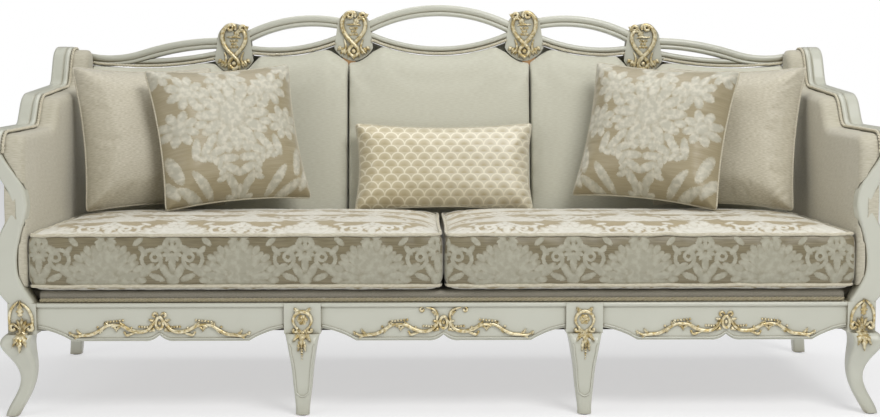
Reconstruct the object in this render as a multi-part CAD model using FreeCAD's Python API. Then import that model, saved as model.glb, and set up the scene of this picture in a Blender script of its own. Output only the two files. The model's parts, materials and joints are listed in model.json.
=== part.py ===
import FreeCAD, Part
import math
import os
from FreeCAD import Placement, Rotation, Vector

# A carved three-seat sofa with a pierced crest, loose seat cushions and five pillows.
# Millimetres. X runs along the sofa, Y towards its back and Z up from the floor.

ARM_OUTER = 1200.0         # half the sofa's width

# Plan of the seat frame
POST_INNER = ARM_OUTER - 132.0       # face of a corner block that an apron meets
POST_OUTER = ARM_OUTER - 58.0
POST_BACK_Y = -372.0
APRON_FRONT_Y = -424.0
APRON_THICK = 30.0
BLOCK_FRONT_Y = -432.0
BACK_RAIL_Y = 384.0
BACK_RAIL_THICK = 38.0
SIDE_RAIL_INNER = ARM_OUTER - 88.0
SIDE_RAIL_THICK = 38.0

# Heights of the seat frame
RAIL_BOTTOM_Z = 215.0
APRON_BOTTOM_Z = 195.0
APRON_ARCH_Z = 229.0
APRON_NOTCH_Z = 211.0
SEAT_FRAME_Z = 296.0
MOULDING_HEIGHT = 12.0
MOULDING_PROUD = 6.0
GLIDE_HEIGHT = 3.0
GLIDE_RADIUS = 12.0

# Front middle legs
MID_LEG_X = 371.5
MID_LEG_WIDTH = 97.0

# Apron outline along X, from each leg
ARCH_RUN = 92.0            # an arch beside a leg
LOBE_HALF = 43.0           # from a notch to the straight edge on each side

# Arms
ARM_RAIL_WIDTH = 55.0
ARM_RAIL_THICK = 35.0
ARM_FRONT_Y = -429.0       # middle of the rail's drop over the post
ARM_LOW_Z = 735.0          # middle of the rail, front stretch
ARM_MID_Z = 851.0          # middle of the rail, raised stretch
EAR_Z = 971.0              # middle of the rail, top of the back corner
POST_TOP_Z = 690.0
ARM_PAD_INNER = ARM_OUTER - 108.0
TACK_RAIL_BOTTOM_Z = 335.0
TACK_RAIL_HEIGHT = 40.0
TACK_RAIL_THICK = 30.0
PANEL_THICK = 4.0

# Back
BACK_FRONT_Y = 398.0       # front face of the crest's wood
BACK_THICK = 40.0
PAD_BACK_Y = 400.0
PAD_BOTTOM_Z = 332.0
PAD_FOOT_Y = 235.0         # front face of the back pads at their bottom
PAD_RAKE = 10.3            # degrees that the pads lean back
SEAM_X = 285.0
STILE_WIDTH = 40.0
STILE_THICK = 30.0
BACK_POST_INNER = SIDE_RAIL_INNER
BACK_POST_OUTER = ARM_OUTER - 40.0
BACK_BOTTOM_RAIL_HEIGHT = 55.0

# Crest strands
UPPER_HEIGHT = 34.0
LOWER_HEIGHT = 27.0
INNER_CARTOUCHE_X = 270.0
OUTER_CARTOUCHE_X = 648.0

# Seat
DECK_HEIGHT = 30.0
ROPE_RADIUS = 6.5
GIMP_RADIUS = 4.0
SPRING_COUNT = 11
SPRING_WIRE = 4.0
SPRING_WAVES = 16
SPRING_SWING = 22.0
CUSHION_CLEAR = 0.5
CUSHION_HEIGHT = 150.0
CUSHION_CROWN = 26.0
CUSHION_FRONT_Y = -431.0

# Loose pillows
PILLOW_SIZE = 455.0
DAMASK_HEIGHT = 430.0
PLAIN_SIZE = 440.0
PLAIN_X = ARM_OUTER - 328.0            # middle of a corner pillow
DAMASK_X = ARM_OUTER - 570.0
LUMBAR_WIDTH = 550.0
LUMBAR_HEIGHT = 280.0
LUMBAR_X = 12.0
PILLOW_HALF_THICK = 72.0
LUMBAR_HALF_THICK = 58.0
PILLOW_GAP = 0.5
PILLOW_SPARE = 0.72        # room between the curved faces of two pillows
PAD_LEAST_SUNK = 1.0
SETTLING_ROUNDS = 4

nodes = {}


# Shapes used all over


def box(x0, x1, y0, y1, z0, z1):
    """A block between two corners."""
    return Part.makeBox(x1 - x0, y1 - y0, z1 - z0, Vector(x0, y0, z0))


def mirrored(shape):
    """The same shape on the other side of the sofa."""
    return shape.mirror(Vector(0, 0, 0), Vector(1, 0, 0))


def joined(shapes):
    """One solid out of pieces that meet face to face."""
    whole = shapes[0]
    if len(shapes) > 1:
        whole = shapes[0].multiFuse(shapes[1:]).removeSplitter()
    return whole


def front_view(y):
    """Turns an (x, z) point of the front view into space."""
    return lambda a, b: Vector(a, y, b)


def side_view(x):
    """Turns a (y, z) point of the side view into space."""
    return lambda a, b: Vector(x, a, b)


def outline(points, to_space):
    """A closed wire. A point that starts with 'via' is the middle of an arc."""
    edges = []
    count = len(points)
    at = 0
    while at < count:
        start = points[at]
        following = points[(at + 1) % count]
        if following[0] == "via":
            end = points[(at + 2) % count]
            arc = Part.Arc(to_space(*start), to_space(*following[1:]), to_space(*end))
            edges.append(arc.toShape())
            at += 2
        else:
            edges.append(Part.LineSegment(to_space(*start), to_space(*following)).toShape())
            at += 1
    return Part.Wire(edges)


def plate(points, to_space, thickness):
    """A flat piece cut to an outline; thickness is the vector of its depth."""
    return Part.Face(outline(points, to_space)).extrude(thickness)


def rounded_rectangle(x0, x1, y0, y1, radius, z):
    """A level section with round corners."""
    r = min(radius, 0.45 * (x1 - x0), 0.45 * (y1 - y0))
    k = r * (1.0 - math.sqrt(0.5))
    points = [(x0 + r, y0), (x1 - r, y0), ("via", x1 - k, y0 + k), (x1, y0 + r),
              (x1, y1 - r), ("via", x1 - k, y1 - k), (x1 - r, y1),
              (x0 + r, y1), ("via", x0 + k, y1 - k), (x0, y1 - r),
              (x0, y0 + r), ("via", x0 + k, y0 + k)]
    return outline(points, lambda a, b: Vector(a, b, z))


def column(sections, radius):
    """A turned-looking post through level sections (z, x0, x1, y0, y1)."""
    wires = [rounded_rectangle(x0, x1, y0, y1, radius, z) for z, x0, x1, y0, y1 in sections]
    return Part.makeLoft(wires, True, False)


def runs_and_arcs(corners, radii):
    """Straight runs joined by tangent arcs through the corners of a flat path."""
    pieces = []
    start = corners[0]
    for before, corner, after, radius in zip(corners, corners[1:], corners[2:], radii):
        ua, ub = corner[0] - before[0], corner[1] - before[1]
        va, vb = after[0] - corner[0], after[1] - corner[1]
        u_long, v_long = math.hypot(ua, ub), math.hypot(va, vb)
        ua, ub, va, vb = ua / u_long, ub / u_long, va / v_long, vb / v_long
        turn = math.atan2(ua * vb - ub * va, ua * va + ub * vb)
        reach = radius * math.tan(abs(turn) / 2.0)
        entry = (corner[0] - ua * reach, corner[1] - ub * reach)
        leave = (corner[0] + va * reach, corner[1] + vb * reach)
        side = math.copysign(radius, turn)
        centre = (entry[0] - ub * side, entry[1] + ua * side)
        pieces.append(("run", start, entry, (ua, ub)))
        pieces.append(("arc", entry, centre, turn, (ua, ub)))
        start = leave
    last = corners[-1]
    va, vb = last[0] - start[0], last[1] - start[1]
    v_long = math.hypot(va, vb)
    pieces.append(("run", start, last, (va / v_long, vb / v_long)))
    return pieces


def sweep(section, corners, radii, view, depth):
    """A moulding along a flat path; section points are (towards the path's left, depth)."""
    turn_axis = Vector(0, -1, 0) if view == "front" else Vector(1, 0, 0)

    def to_space(a, b, out):
        if view == "front":
            return Vector(a, depth + out, b)
        return Vector(depth + out, a, b)

    solids = []
    for piece in runs_and_arcs(corners, radii):
        start = piece[1]
        ua, ub = piece[-1]
        wire = outline(section, lambda p, q: to_space(start[0] - ub * p, start[1] + ua * p, q))
        face = Part.Face(wire)
        if piece[0] == "run":
            end = piece[2]
            move = to_space(end[0], end[1], 0) - to_space(start[0], start[1], 0)
            if move.Length > 0.01:
                solids.append(face.extrude(move))
        else:
            centre = piece[2]
            angle = math.degrees(piece[3])
            solids.append(face.revolve(to_space(centre[0], centre[1], 0), turn_axis, angle))
    return joined(solids)


def reeded(height, depth):
    """Section of a strand: flat back, two rounded reeds in front with a groove between."""
    low, high = -height / 2.0, height / 2.0
    split = low + height * 0.38
    groove = 5.0
    return [(low, depth), (low, groove), ("via", (low + split) / 2.0, 0.0), (split, groove),
            ("via", (split + high) / 2.0, 0.0), (high, groove), (high, depth)]


def half_round(radius):
    """Section of an applied carving: flat on its back, round in front."""
    return [(-radius, 0.0), ("via", 0.0, -radius), (radius, 0.0)]


def round_bar(radius):
    """Section of a cord."""
    return [(-radius, 0.0), ("via", 0.0, -radius), (radius, 0.0), ("via", 0.0, radius)]


def shift(section, p, q):
    """The same section moved off the path."""
    moved = []
    for point in section:
        if point[0] == "via":
            moved.append(("via", point[1] + p, point[2] + q))
        else:
            moved.append((point[0] + p, point[1] + q))
    return moved


def parallel(corners, radii, distance):
    """The same path a distance to its left, with its radii to match."""
    lines = []
    for (ax, az), (bx, bz) in zip(corners, corners[1:]):
        long = math.hypot(bx - ax, bz - az)
        ua, ub = (bx - ax) / long, (bz - az) / long
        lines.append((ax - ub * distance, az + ua * distance, ua, ub))
    moved = [lines[0][:2]]
    new_radii = []
    for (px, pz, ua, ub), (qx, qz, va, vb), radius in zip(lines, lines[1:], radii):
        cross = ua * vb - ub * va
        along = ((qx - px) * vb - (qz - pz) * va) / cross
        moved.append((px + ua * along, pz + ub * along))
        new_radii.append(radius - math.copysign(distance, cross))
    last_x, last_z = corners[-1]
    px, pz, ua, ub = lines[-1]
    along = (last_x - px) * ua + (last_z - pz) * ub
    moved.append((px + ua * along, pz + ub * along))
    return moved, new_radii


def area_under(corners, radii, floor_z, to_space):
    """A closed wire: the path on top, straight sides, a level bottom."""
    edges = []
    for piece in runs_and_arcs(corners, radii):
        start = piece[1]
        if piece[0] == "run":
            end = piece[2]
            if math.hypot(end[0] - start[0], end[1] - start[1]) > 0.01:
                edges.append(Part.LineSegment(to_space(*start), to_space(*end)).toShape())
            last = end
        else:
            ox, oz = piece[2]
            points = []
            for share in (0.0, 0.5, 1.0):
                turn = piece[3] * share
                rx, rz = start[0] - ox, start[1] - oz
                points.append((ox + rx * math.cos(turn) - rz * math.sin(turn),
                               oz + rx * math.sin(turn) + rz * math.cos(turn)))
            edges.append(Part.Arc(*[to_space(*point) for point in points]).toShape())
            last = points[-1]
    first = corners[0]
    low_left, low_right = (first[0], floor_z), (last[0], floor_z)
    for a, b in ((last, low_right), (low_right, low_left), (low_left, first)):
        edges.append(Part.LineSegment(to_space(*a), to_space(*b)).toShape())
    return Part.Wire(Part.sortEdges(edges)[0])


def arc_middle(start, end, heading):
    """Middle of the arc that leaves a point along a heading and ends at another."""
    ca, cb = end[0] - start[0], end[1] - start[1]
    turn = math.atan2(heading[0] * cb - heading[1] * ca, heading[0] * ca + heading[1] * cb)
    rise = -0.5 * math.tan(turn / 2.0)
    return start[0] + 0.5 * ca - cb * rise, start[1] + 0.5 * cb + ca * rise


def bowed(section, start, middle, end, view, depth):
    """A moulding along one arc through three points of a flat view."""
    ax, az, bx, bz, cx, cz = *start, *middle, *end
    d = 2.0 * (ax * (bz - cz) + bx * (cz - az) + cx * (az - bz))
    aa, bb, cc = ax * ax + az * az, bx * bx + bz * bz, cx * cx + cz * cz
    ox = (aa * (bz - cz) + bb * (cz - az) + cc * (az - bz)) / d
    oz = (aa * (cx - bx) + bb * (ax - cx) + cc * (bx - ax)) / d
    radius = math.hypot(ax - ox, az - oz)
    side = -1.0 if d > 0 else 1.0
    turn = 0.0
    for (px, pz), (qx, qz) in ((start, middle), (middle, end)):
        half = min(1.0, math.hypot(qx - px, qz - pz) / (2.0 * radius))
        turn += 2.0 * math.asin(half)
    ua, ub = (az - oz) * side / radius, (ox - ax) * side / radius
    turn = -side * turn

    def to_space(a, b, out):
        if view == "front":
            return Vector(a, depth + out, b)
        return Vector(depth + out, a, b)

    axis = Vector(0, -1, 0) if view == "front" else Vector(1, 0, 0)
    wire = outline(section, lambda p, q: to_space(ax - ub * p, az + ua * p, q))
    return Part.Face(wire).revolve(to_space(ox, oz, 0), axis, math.degrees(turn))


# Seat frame


def apron(x0, x1, notch_x):
    """A front apron: arched beside each leg, two lobes and a pointed notch, a moulding on top."""
    low, arch = APRON_BOTTOM_Z, APRON_ARCH_Z
    swell = low + 0.66 * (arch - low)
    tip = low + 0.2 * (APRON_NOTCH_Z - low)
    points = [(x0, SEAT_FRAME_Z), (x0, arch), ("via", x0 + 0.5 * ARCH_RUN, swell),
              (x0 + ARCH_RUN, low), (notch_x - LOBE_HALF, low),
              ("via", notch_x - 0.42 * LOBE_HALF, tip), (notch_x, APRON_NOTCH_Z),
              ("via", notch_x + 0.42 * LOBE_HALF, tip), (notch_x + LOBE_HALF, low),
              (x1 - ARCH_RUN, low), ("via", x1 - 0.5 * ARCH_RUN, swell), (x1, arch),
              (x1, SEAT_FRAME_Z)]
    board = plate(points, front_view(APRON_FRONT_Y), Vector(0, APRON_THICK, 0))
    low_edge, front = SEAT_FRAME_Z - MOULDING_HEIGHT, APRON_FRONT_Y - MOULDING_PROUD
    lip = plate([(front + 4.0, low_edge), ("via", front, low_edge + 0.5 * MOULDING_HEIGHT),
                 (front + 4.0, SEAT_FRAME_Z), (APRON_FRONT_Y, SEAT_FRAME_Z),
                 (APRON_FRONT_Y, low_edge)], side_view(x0), Vector(x1 - x0, 0, 0))
    return joined([board, lip])


MID_LEG_IN = MID_LEG_X - MID_LEG_WIDTH / 2.0
MID_LEG_OUT = MID_LEG_X + MID_LEG_WIDTH / 2.0
APRON_BACK_Y = APRON_FRONT_Y + APRON_THICK
NOTCH_X = 747.0
nodes["front_apron_centre"] = apron(-MID_LEG_IN, MID_LEG_IN, 0.0)
nodes["front_apron_right"] = apron(MID_LEG_OUT, POST_INNER, NOTCH_X)
nodes["front_apron_left"] = mirrored(nodes["front_apron_right"])

BACK_RAIL_END = SIDE_RAIL_INNER - 14.0
nodes["back_seat_rail"] = box(-BACK_RAIL_END, BACK_RAIL_END, BACK_RAIL_Y,
                              BACK_RAIL_Y + BACK_RAIL_THICK, RAIL_BOTTOM_Z, SEAT_FRAME_Z)
nodes["side_seat_rail_right"] = box(SIDE_RAIL_INNER, SIDE_RAIL_INNER + SIDE_RAIL_THICK,
                                    POST_BACK_Y, BACK_RAIL_Y, RAIL_BOTTOM_Z, SEAT_FRAME_Z)
nodes["side_seat_rail_left"] = mirrored(nodes["side_seat_rail_right"])

BRACE_WIDTH = 45.0
BRACE_TOP_Z = SEAT_FRAME_Z - 26.0
brace = box(MID_LEG_X - BRACE_WIDTH / 2.0, MID_LEG_X + BRACE_WIDTH / 2.0, POST_BACK_Y,
            BACK_RAIL_Y, RAIL_BOTTOM_Z, BRACE_TOP_Z)
nodes["seat_cross_braces"] = Part.makeCompound([brace, mirrored(brace)])


# Legs and posts: level sections (z, inner x, outer x, front y, back y)


def leg_block(x0, x1):
    """The square part of a leg that the rails are joined to."""
    return box(x0, x1, BLOCK_FRONT_Y, POST_BACK_Y, RAIL_BOTTOM_Z, SEAT_FRAME_Z)


def front_post():
    """A cabriole leg that carries on up as an S-shaped arm support."""
    inner, outer, back = POST_INNER, POST_OUTER, POST_BACK_Y
    leg = column([(GLIDE_HEIGHT, inner + 46, inner + 80, -458, -420),
                  (40, inner + 26, inner + 65, -447, -410),
                  (97, inner + 5, inner + 46, -436, -398),
                  (150, inner + 5, outer - 8, -448, -388),
                  (187, inner + 12, outer + 16, -460, -376),
                  (RAIL_BOTTOM_Z, inner + 8, outer + 6, -446, back)], 14.0)
    top_in = ARM_OUTER - ARM_RAIL_WIDTH
    rail_front = ARM_FRONT_Y - ARM_RAIL_THICK / 2.0
    support = column([(SEAT_FRAME_Z, inner + 4, outer + 2, BLOCK_FRONT_Y, back - 2),
                      (335, inner + 27, outer + 30, -438, back - 4),
                      (375, inner + 42, outer + 43, -440, back - 4),
                      (440, inner + 42, outer + 31, -440, -380),
                      (500, inner + 29, outer + 6, -438, -384),
                      (550, inner + 18, outer - 14, -436, -388),
                      (600, inner + 26, outer - 2, -438, -392),
                      (648, top_in - 24, ARM_OUTER - 30, -442, -398),
                      (POST_TOP_Z, top_in, ARM_OUTER, rail_front, -404)], 10.0)
    return joined([leg, leg_block(inner, outer), support])


def middle_leg():
    """A short cabriole leg under a square block."""
    rows = [(GLIDE_HEIGHT, 18.5, -454, -418), (30, 19.5, -448, -413), (70, 24.5, -440, -404),
            (120, 29, -444, -396), (165, 35, -456, -386), (195, 40, -458, -378),
            (RAIL_BOTTOM_Z, 46, -442, POST_BACK_Y - 1)]
    leg = column([(z, MID_LEG_X - half, MID_LEG_X + half, y0, y1) for z, half, y0, y1 in rows],
                 13.0)
    return joined([leg, leg_block(MID_LEG_IN, MID_LEG_OUT)])


CREST_BACK_Y = BACK_FRONT_Y + BACK_THICK
EAR_UNDER_Z = EAR_Z - ARM_RAIL_THICK / 2.0


def back_post():
    """A splayed back leg with its upright, which carries the arm and the crest."""
    inner, outer = BACK_POST_INNER, BACK_POST_OUTER
    leg = column([(GLIDE_HEIGHT, outer - 4, outer + 33, 424, 460),
                  (60, outer - 12, outer + 26, 412, 450),
                  (130, outer - 22, outer + 18, 398, 440),
                  (RAIL_BOTTOM_Z, outer - 42, outer + 12, BACK_RAIL_Y, 430)], 8.0)
    block = box(BACK_RAIL_END, outer + 12.0, BACK_RAIL_Y, 430.0, RAIL_BOTTOM_Z, SEAT_FRAME_Z)
    upright = box(inner, outer, BACK_FRONT_Y, CREST_BACK_Y, SEAT_FRAME_Z, EAR_UNDER_Z)
    return joined([leg, block, upright])


# Arm rails: from the front post over two steps up to the corner of the back


ARM_PATH = [(ARM_FRONT_Y, POST_TOP_Z), (ARM_FRONT_Y, ARM_LOW_Z - 2.0), (-92.0, ARM_LOW_Z + 6.0),
            (-35.0, ARM_MID_Z - 25.0), (290.0, ARM_MID_Z + 4.0), (343.0, EAR_Z),
            (CREST_BACK_Y, EAR_Z)]
ARM_RADII = [36.0, 60.0, 60.0, 60.0, 52.0]


def arm_section():
    """A flat-bottomed rail: rounded outer edge, a groove, and a bead along the inner edge."""
    low, high, wide = -ARM_RAIL_THICK / 2.0, ARM_RAIL_THICK / 2.0, ARM_RAIL_WIDTH
    return [(low, 0.0), (low, wide), (high - 9.0, wide), ("via", high - 2.6, wide - 2.6),
            (high, wide - 9.0), (high, 22.0), (high - 4.0, 18.0), ("via", high, 9.0),
            (high - 8.0, 0.0)]


ARM_RAIL_INNER = ARM_OUTER - ARM_RAIL_WIDTH
nodes["arm_rail_right"] = sweep(arm_section(), ARM_PATH, ARM_RADII, "side", ARM_RAIL_INNER)
nodes["arm_rail_left"] = mirrored(nodes["arm_rail_right"])


# Crest: an upper strand in three pieces, a lower strand, and blocks where they cross


# Middle lines of the lower strand from the middle outwards: start, middle and end of each bow
BOW_END = INNER_CARTOUCHE_X - 35.0
LOWER_BOWS = [((-BOW_END, 1030.0), (0.0, 977.0), (BOW_END, 1030.0)),
              ((INNER_CARTOUCHE_X + 30.0, 1022.0), (440.0, 980.0),
               (OUTER_CARTOUCHE_X - 36.0, 982.0)),
              ((OUTER_CARTOUCHE_X + 40.0, 966.0), (ARM_OUTER - 350.0, 941.5),
               (ARM_OUTER - 160.0, 943.5))]
# Middle line of the upper strand over the place where the lower one runs out under it
UPPER_OVER_END = [(ARM_OUTER - 340.0, 982.0), (ARM_OUTER - 270.0, 963.4),
                  (ARM_OUTER - 235.0, 953.6)]
STRAND_SPACE = 0.6
# Lower edge of the crest from there to the corner
CORNER_BOW = ((ARM_OUTER - 160.0, 929.5), (ARM_PAD_INNER, 934.5), (ARM_RAIL_INNER, 945.0))


def crest_upper_centre():
    """The bow over the middle opening."""
    return bowed(reeded(UPPER_HEIGHT, BACK_THICK), (-BOW_END, 1045.0), (0.0, 1104.0),
                 (BOW_END, 1045.0), "front", BACK_FRONT_Y)


def crest_upper_right(section):
    """The bow over the inner side opening and the long S out to the corner."""
    inner = bowed(section, (INNER_CARTOUCHE_X + 30.0, 1060.0), (417.0, 1071.0),
                  (OUTER_CARTOUCHE_X - 38.0, 1018.0), "front", BACK_FRONT_Y)
    outer = sweep(section, [(OUTER_CARTOUCHE_X + 38.0, 1001.0),
                            (ARM_OUTER - 385.0, 1000.0), (ARM_OUTER - 165.0, 930.0),
                            (ARM_RAIL_INNER + 4.0, 963.0)], [820.0, 340.0], "front",
                  BACK_FRONT_Y)
    return inner, outer


def crest_lower():
    """The lower strand from the middle to the right, bowed down under each opening."""
    section = reeded(LOWER_HEIGHT, BACK_THICK)
    return [bowed(section, *bow, "front", BACK_FRONT_Y) for bow in LOWER_BOWS]


def trimmed(strand, stops):
    """What is left of a strand between the pieces that it runs into."""
    for stop in stops:
        strand = strand.cut(stop)
    return max(strand.Solids, key=lambda solid: solid.Volume)


BLOCK_MIDDLES = [(INNER_CARTOUCHE_X, 1026.0), (OUTER_CARTOUCHE_X, 986.0)]
BLOCK_HALF_WIDTH = 61.0
BLOCK_TOP_HALF_WIDTH = 50.0
BLOCK_RISE = 76.0          # from the middle of a block to its top
BLOCK_SHOULDER = 40.0      # from its middle up and down to the ends of its straight sides
BLOCK_TONGUE = 81.0        # from its middle to the tip that hangs below the rail


def crest_block(x, z):
    """The shield-shaped ground of a cartouche, with a tongue that hangs below the rail."""
    wide, top, shoulder, tip = BLOCK_HALF_WIDTH, BLOCK_TOP_HALF_WIDTH, BLOCK_SHOULDER, BLOCK_TONGUE
    points = [(x - top, z + shoulder), ("via", x, z + BLOCK_RISE), (x + top, z + shoulder),
              (x + wide, z - shoulder), ("via", x + 0.8 * wide, z - shoulder - 18.0),
              (x + 0.5 * wide, z - tip + 9.0), ("via", x, z - tip),
              (x - 0.5 * wide, z - tip + 9.0), ("via", x - 0.8 * wide, z - shoulder - 18.0),
              (x - wide, z - shoulder)]
    return plate(points, front_view(BACK_FRONT_Y), Vector(0, BACK_THICK, 0))


crest_blocks = [crest_block(x, z) for x, z in BLOCK_MIDDLES]
crest_blocks += [mirrored(block) for block in crest_blocks]
inner_bow, outer_bow = crest_upper_right(reeded(UPPER_HEIGHT, BACK_THICK))
outer_bow = outer_bow.cut(nodes["arm_rail_right"])
upper_right = [piece.cut(Part.makeCompound(crest_blocks)) for piece in (inner_bow, outer_bow)]
nodes["crest_upper_centre"] = crest_upper_centre().cut(Part.makeCompound(crest_blocks))
nodes["crest_upper_right"] = Part.makeCompound(upper_right)
nodes["crest_upper_left"] = mirrored(nodes["crest_upper_right"])
nodes["crest_blocks"] = Part.makeCompound(crest_blocks)
UPPER = [nodes[name] for name in ("crest_upper_centre", "crest_upper_right", "crest_upper_left")]
under_upper = [(x, z - 0.53 * UPPER_HEIGHT - STRAND_SPACE) for x, z in UPPER_OVER_END]
strand_end = plate([(UPPER_OVER_END[0][0], EAR_Z + 100.0)] + under_upper
                   + [(UPPER_OVER_END[-1][0], ARM_LOW_Z), (POST_INNER, ARM_LOW_Z),
                      (POST_INNER, EAR_Z + 100.0)],
                   front_view(BACK_FRONT_Y - 2.0), Vector(0, BACK_THICK + 4.0, 0))
strand_stops = crest_blocks + [nodes["crest_upper_centre"], strand_end]
lower_parts = [trimmed(strand, strand_stops) for strand in crest_lower()]
lower_parts += [mirrored(strand) for strand in lower_parts[1:]]
nodes["crest_lower_rail"] = Part.makeCompound(lower_parts)
CREST = Part.makeCompound(UPPER + lower_parts + crest_blocks)

nodes["back_post_right"] = back_post().cut(Part.makeCompound([CREST, nodes["arm_rail_right"]]))
nodes["back_post_left"] = mirrored(nodes["back_post_right"])


nodes["front_post_right"] = front_post()
nodes["front_post_left"] = mirrored(nodes["front_post_right"])
nodes["front_leg_right"] = middle_leg()
nodes["front_leg_left"] = mirrored(nodes["front_leg_right"])


# Inside the seat frame


CORNER_BLOCK = 60.0
CORNER_BLOCK_LOW_Z = RAIL_BOTTOM_Z + 5.0
CORNER_BLOCK_HIGH_Z = RAIL_BOTTOM_Z + 45.0
BOLT_RADIUS = 4.0
BOLT_HEAD_RADIUS = 6.5
BOLT_HEAD_HEIGHT = 5.0
BOLT_BITE = 28.0
BOLT_HOLE_SPACE = 0.1
BOLT_Z = (CORNER_BLOCK_LOW_Z + CORNER_BLOCK_HIGH_Z) / 2.0


def bolt(x, y_head, direction, radius):
    """A hexagon bolt along Y, its shank starting under the head."""
    along = Vector(0, direction, 0)
    length = CORNER_BLOCK + BOLT_BITE
    shank = Part.makeCylinder(radius, length, Vector(x, y_head, BOLT_Z), along)
    corners = [(x + BOLT_HEAD_RADIUS * math.cos(math.radians(a)),
                BOLT_Z + BOLT_HEAD_RADIUS * math.sin(math.radians(a))) for a in range(0, 360, 60)]
    head = plate(corners, front_view(y_head), -BOLT_HEAD_HEIGHT * along)
    return joined([shank, head])


def corner_block(y0):
    """A block glued into an inner corner of the seat frame."""
    return box(SIDE_RAIL_INNER - CORNER_BLOCK, SIDE_RAIL_INNER, y0, y0 + CORNER_BLOCK,
               CORNER_BLOCK_LOW_Z, CORNER_BLOCK_HIGH_Z)


FRONT_BOLT_X = (POST_INNER + SIDE_RAIL_INNER) / 2.0
BACK_BOLT_X = SIDE_RAIL_INNER - BOLT_HEAD_RADIUS - 1.0
bolt_places = [(FRONT_BOLT_X, POST_BACK_Y + CORNER_BLOCK, -1.0),
               (BACK_BOLT_X, BACK_RAIL_Y - CORNER_BLOCK, 1.0)]
bolts = [bolt(x, y, way, BOLT_RADIUS) for x, y, way in bolt_places]
holes = Part.makeCompound([bolt(x, y, way, BOLT_RADIUS + BOLT_HOLE_SPACE)
                           for x, y, way in bolt_places])
blocks = [corner_block(POST_BACK_Y), corner_block(BACK_RAIL_Y - CORNER_BLOCK)]
blocks = [block.cut(holes) for block in blocks]
nodes["corner_blocks"] = Part.makeCompound(blocks + [mirrored(block) for block in blocks])
nodes["frame_bolts"] = Part.makeCompound(bolts + [mirrored(one) for one in bolts])
nodes["front_post_right"] = nodes["front_post_right"].cut(holes)
nodes["front_post_left"] = mirrored(nodes["front_post_right"])
nodes["back_post_right"] = nodes["back_post_right"].cut(holes)
nodes["back_post_left"] = mirrored(nodes["back_post_right"])

SPRING_RAIL_DEPTH = POST_BACK_Y - APRON_BACK_Y
SPRING_RAIL_LOW_Z = SEAT_FRAME_Z - 34.0
leg_blocks = Part.makeCompound([leg_block(MID_LEG_IN, MID_LEG_OUT),
                                leg_block(-MID_LEG_OUT, -MID_LEG_IN)])
nodes["spring_rail"] = box(-POST_INNER, POST_INNER, APRON_BACK_Y, POST_BACK_Y,
                           SPRING_RAIL_LOW_Z, SEAT_FRAME_Z).cut(leg_blocks)

SPRING_Z = SEAT_FRAME_Z - 8.0
SPRING_PITCH = 180.0


def zigzag_spring(x):
    """A flat zigzag wire from the spring rail to the back rail."""
    span = BACK_RAIL_Y - POST_BACK_Y
    step = span / (SPRING_WAVES + 1)
    corners = [(POST_BACK_Y, x), (POST_BACK_Y + 0.75 * step, x)]
    for wave in range(SPRING_WAVES):
        side = SPRING_SWING if wave % 2 else -SPRING_SWING
        corners.append((POST_BACK_Y + (wave + 1.0) * step, x + side))
    corners += [(BACK_RAIL_Y - 0.75 * step, x), (BACK_RAIL_Y, x)]
    radii = [4.0] + [8.0] * SPRING_WAVES + [4.0]
    path = []
    for piece in runs_and_arcs(corners, radii):
        start = piece[1]
        if piece[0] == "run":
            end = piece[2]
            path.append(Part.LineSegment(Vector(start[1], start[0], SPRING_Z),
                                         Vector(end[1], end[0], SPRING_Z)).toShape())
        else:
            oy, ox = piece[2]
            points = []
            for share in (0.0, 0.5, 1.0):
                turn = piece[3] * share
                ry, rx = start[0] - oy, start[1] - ox
                points.append(Vector(ox + ry * math.sin(turn) + rx * math.cos(turn),
                                     oy + ry * math.cos(turn) - rx * math.sin(turn), SPRING_Z))
            path.append(Part.Arc(*points).toShape())
    circle = Part.Wire(Part.makeCircle(SPRING_WIRE / 2.0, Vector(x, POST_BACK_Y, SPRING_Z),
                                       Vector(0, 1, 0)))
    return Part.Wire(path).makePipeShell([circle], True, False)


first_spring = zigzag_spring(0.0)
springs = []
for index in range(SPRING_COUNT):
    spring = first_spring.copy()
    spring.translate(Vector((index - (SPRING_COUNT - 1) / 2.0) * SPRING_PITCH, 0, 0))
    springs.append(spring)
nodes["seat_springs"] = Part.makeCompound(springs)

DECK_FRONT_Y = APRON_FRONT_Y + 12.0
DECK_TOP_Z = SEAT_FRAME_Z + DECK_HEIGHT
deck_outline = [(-POST_INNER + 2, DECK_FRONT_Y), (POST_INNER - 2, DECK_FRONT_Y),
                (POST_INNER - 2, POST_BACK_Y + 2), (SIDE_RAIL_INNER + 6, POST_BACK_Y + 2),
                (SIDE_RAIL_INNER + 6, BACK_FRONT_Y - 2), (-SIDE_RAIL_INNER - 6, BACK_FRONT_Y - 2),
                (-SIDE_RAIL_INNER - 6, POST_BACK_Y + 2), (-POST_INNER + 2, POST_BACK_Y + 2)]
nodes["deck_pad"] = plate(deck_outline, lambda a, b: Vector(a, b, SEAT_FRAME_Z),
                          Vector(0, 0, DECK_HEIGHT))
nodes["dust_cover"] = box(-BACK_RAIL_END, BACK_RAIL_END, POST_BACK_Y + 1.5, BACK_RAIL_Y - 2.0,
                          RAIL_BOTTOM_Z - 2.0, RAIL_BOTTOM_Z)
nodes["rope_trim"] = Part.makeCylinder(ROPE_RADIUS, 2.0 * (POST_INNER - 2.0),
                                       Vector(2.0 - POST_INNER, DECK_FRONT_Y - ROPE_RADIUS,
                                              SEAT_FRAME_Z + ROPE_RADIUS), Vector(1, 0, 0))
foot_places = [(POST_INNER + 63.0, -439.0), (MID_LEG_X, -436.0), (BACK_POST_OUTER + 14.5, 442.0)]
glides = [Part.makeCylinder(GLIDE_RADIUS, GLIDE_HEIGHT, Vector(x, y, 0)) for x, y in foot_places]
nodes["foot_glides"] = Part.makeCompound(glides + [mirrored(glide) for glide in glides])


# Back frame


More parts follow.
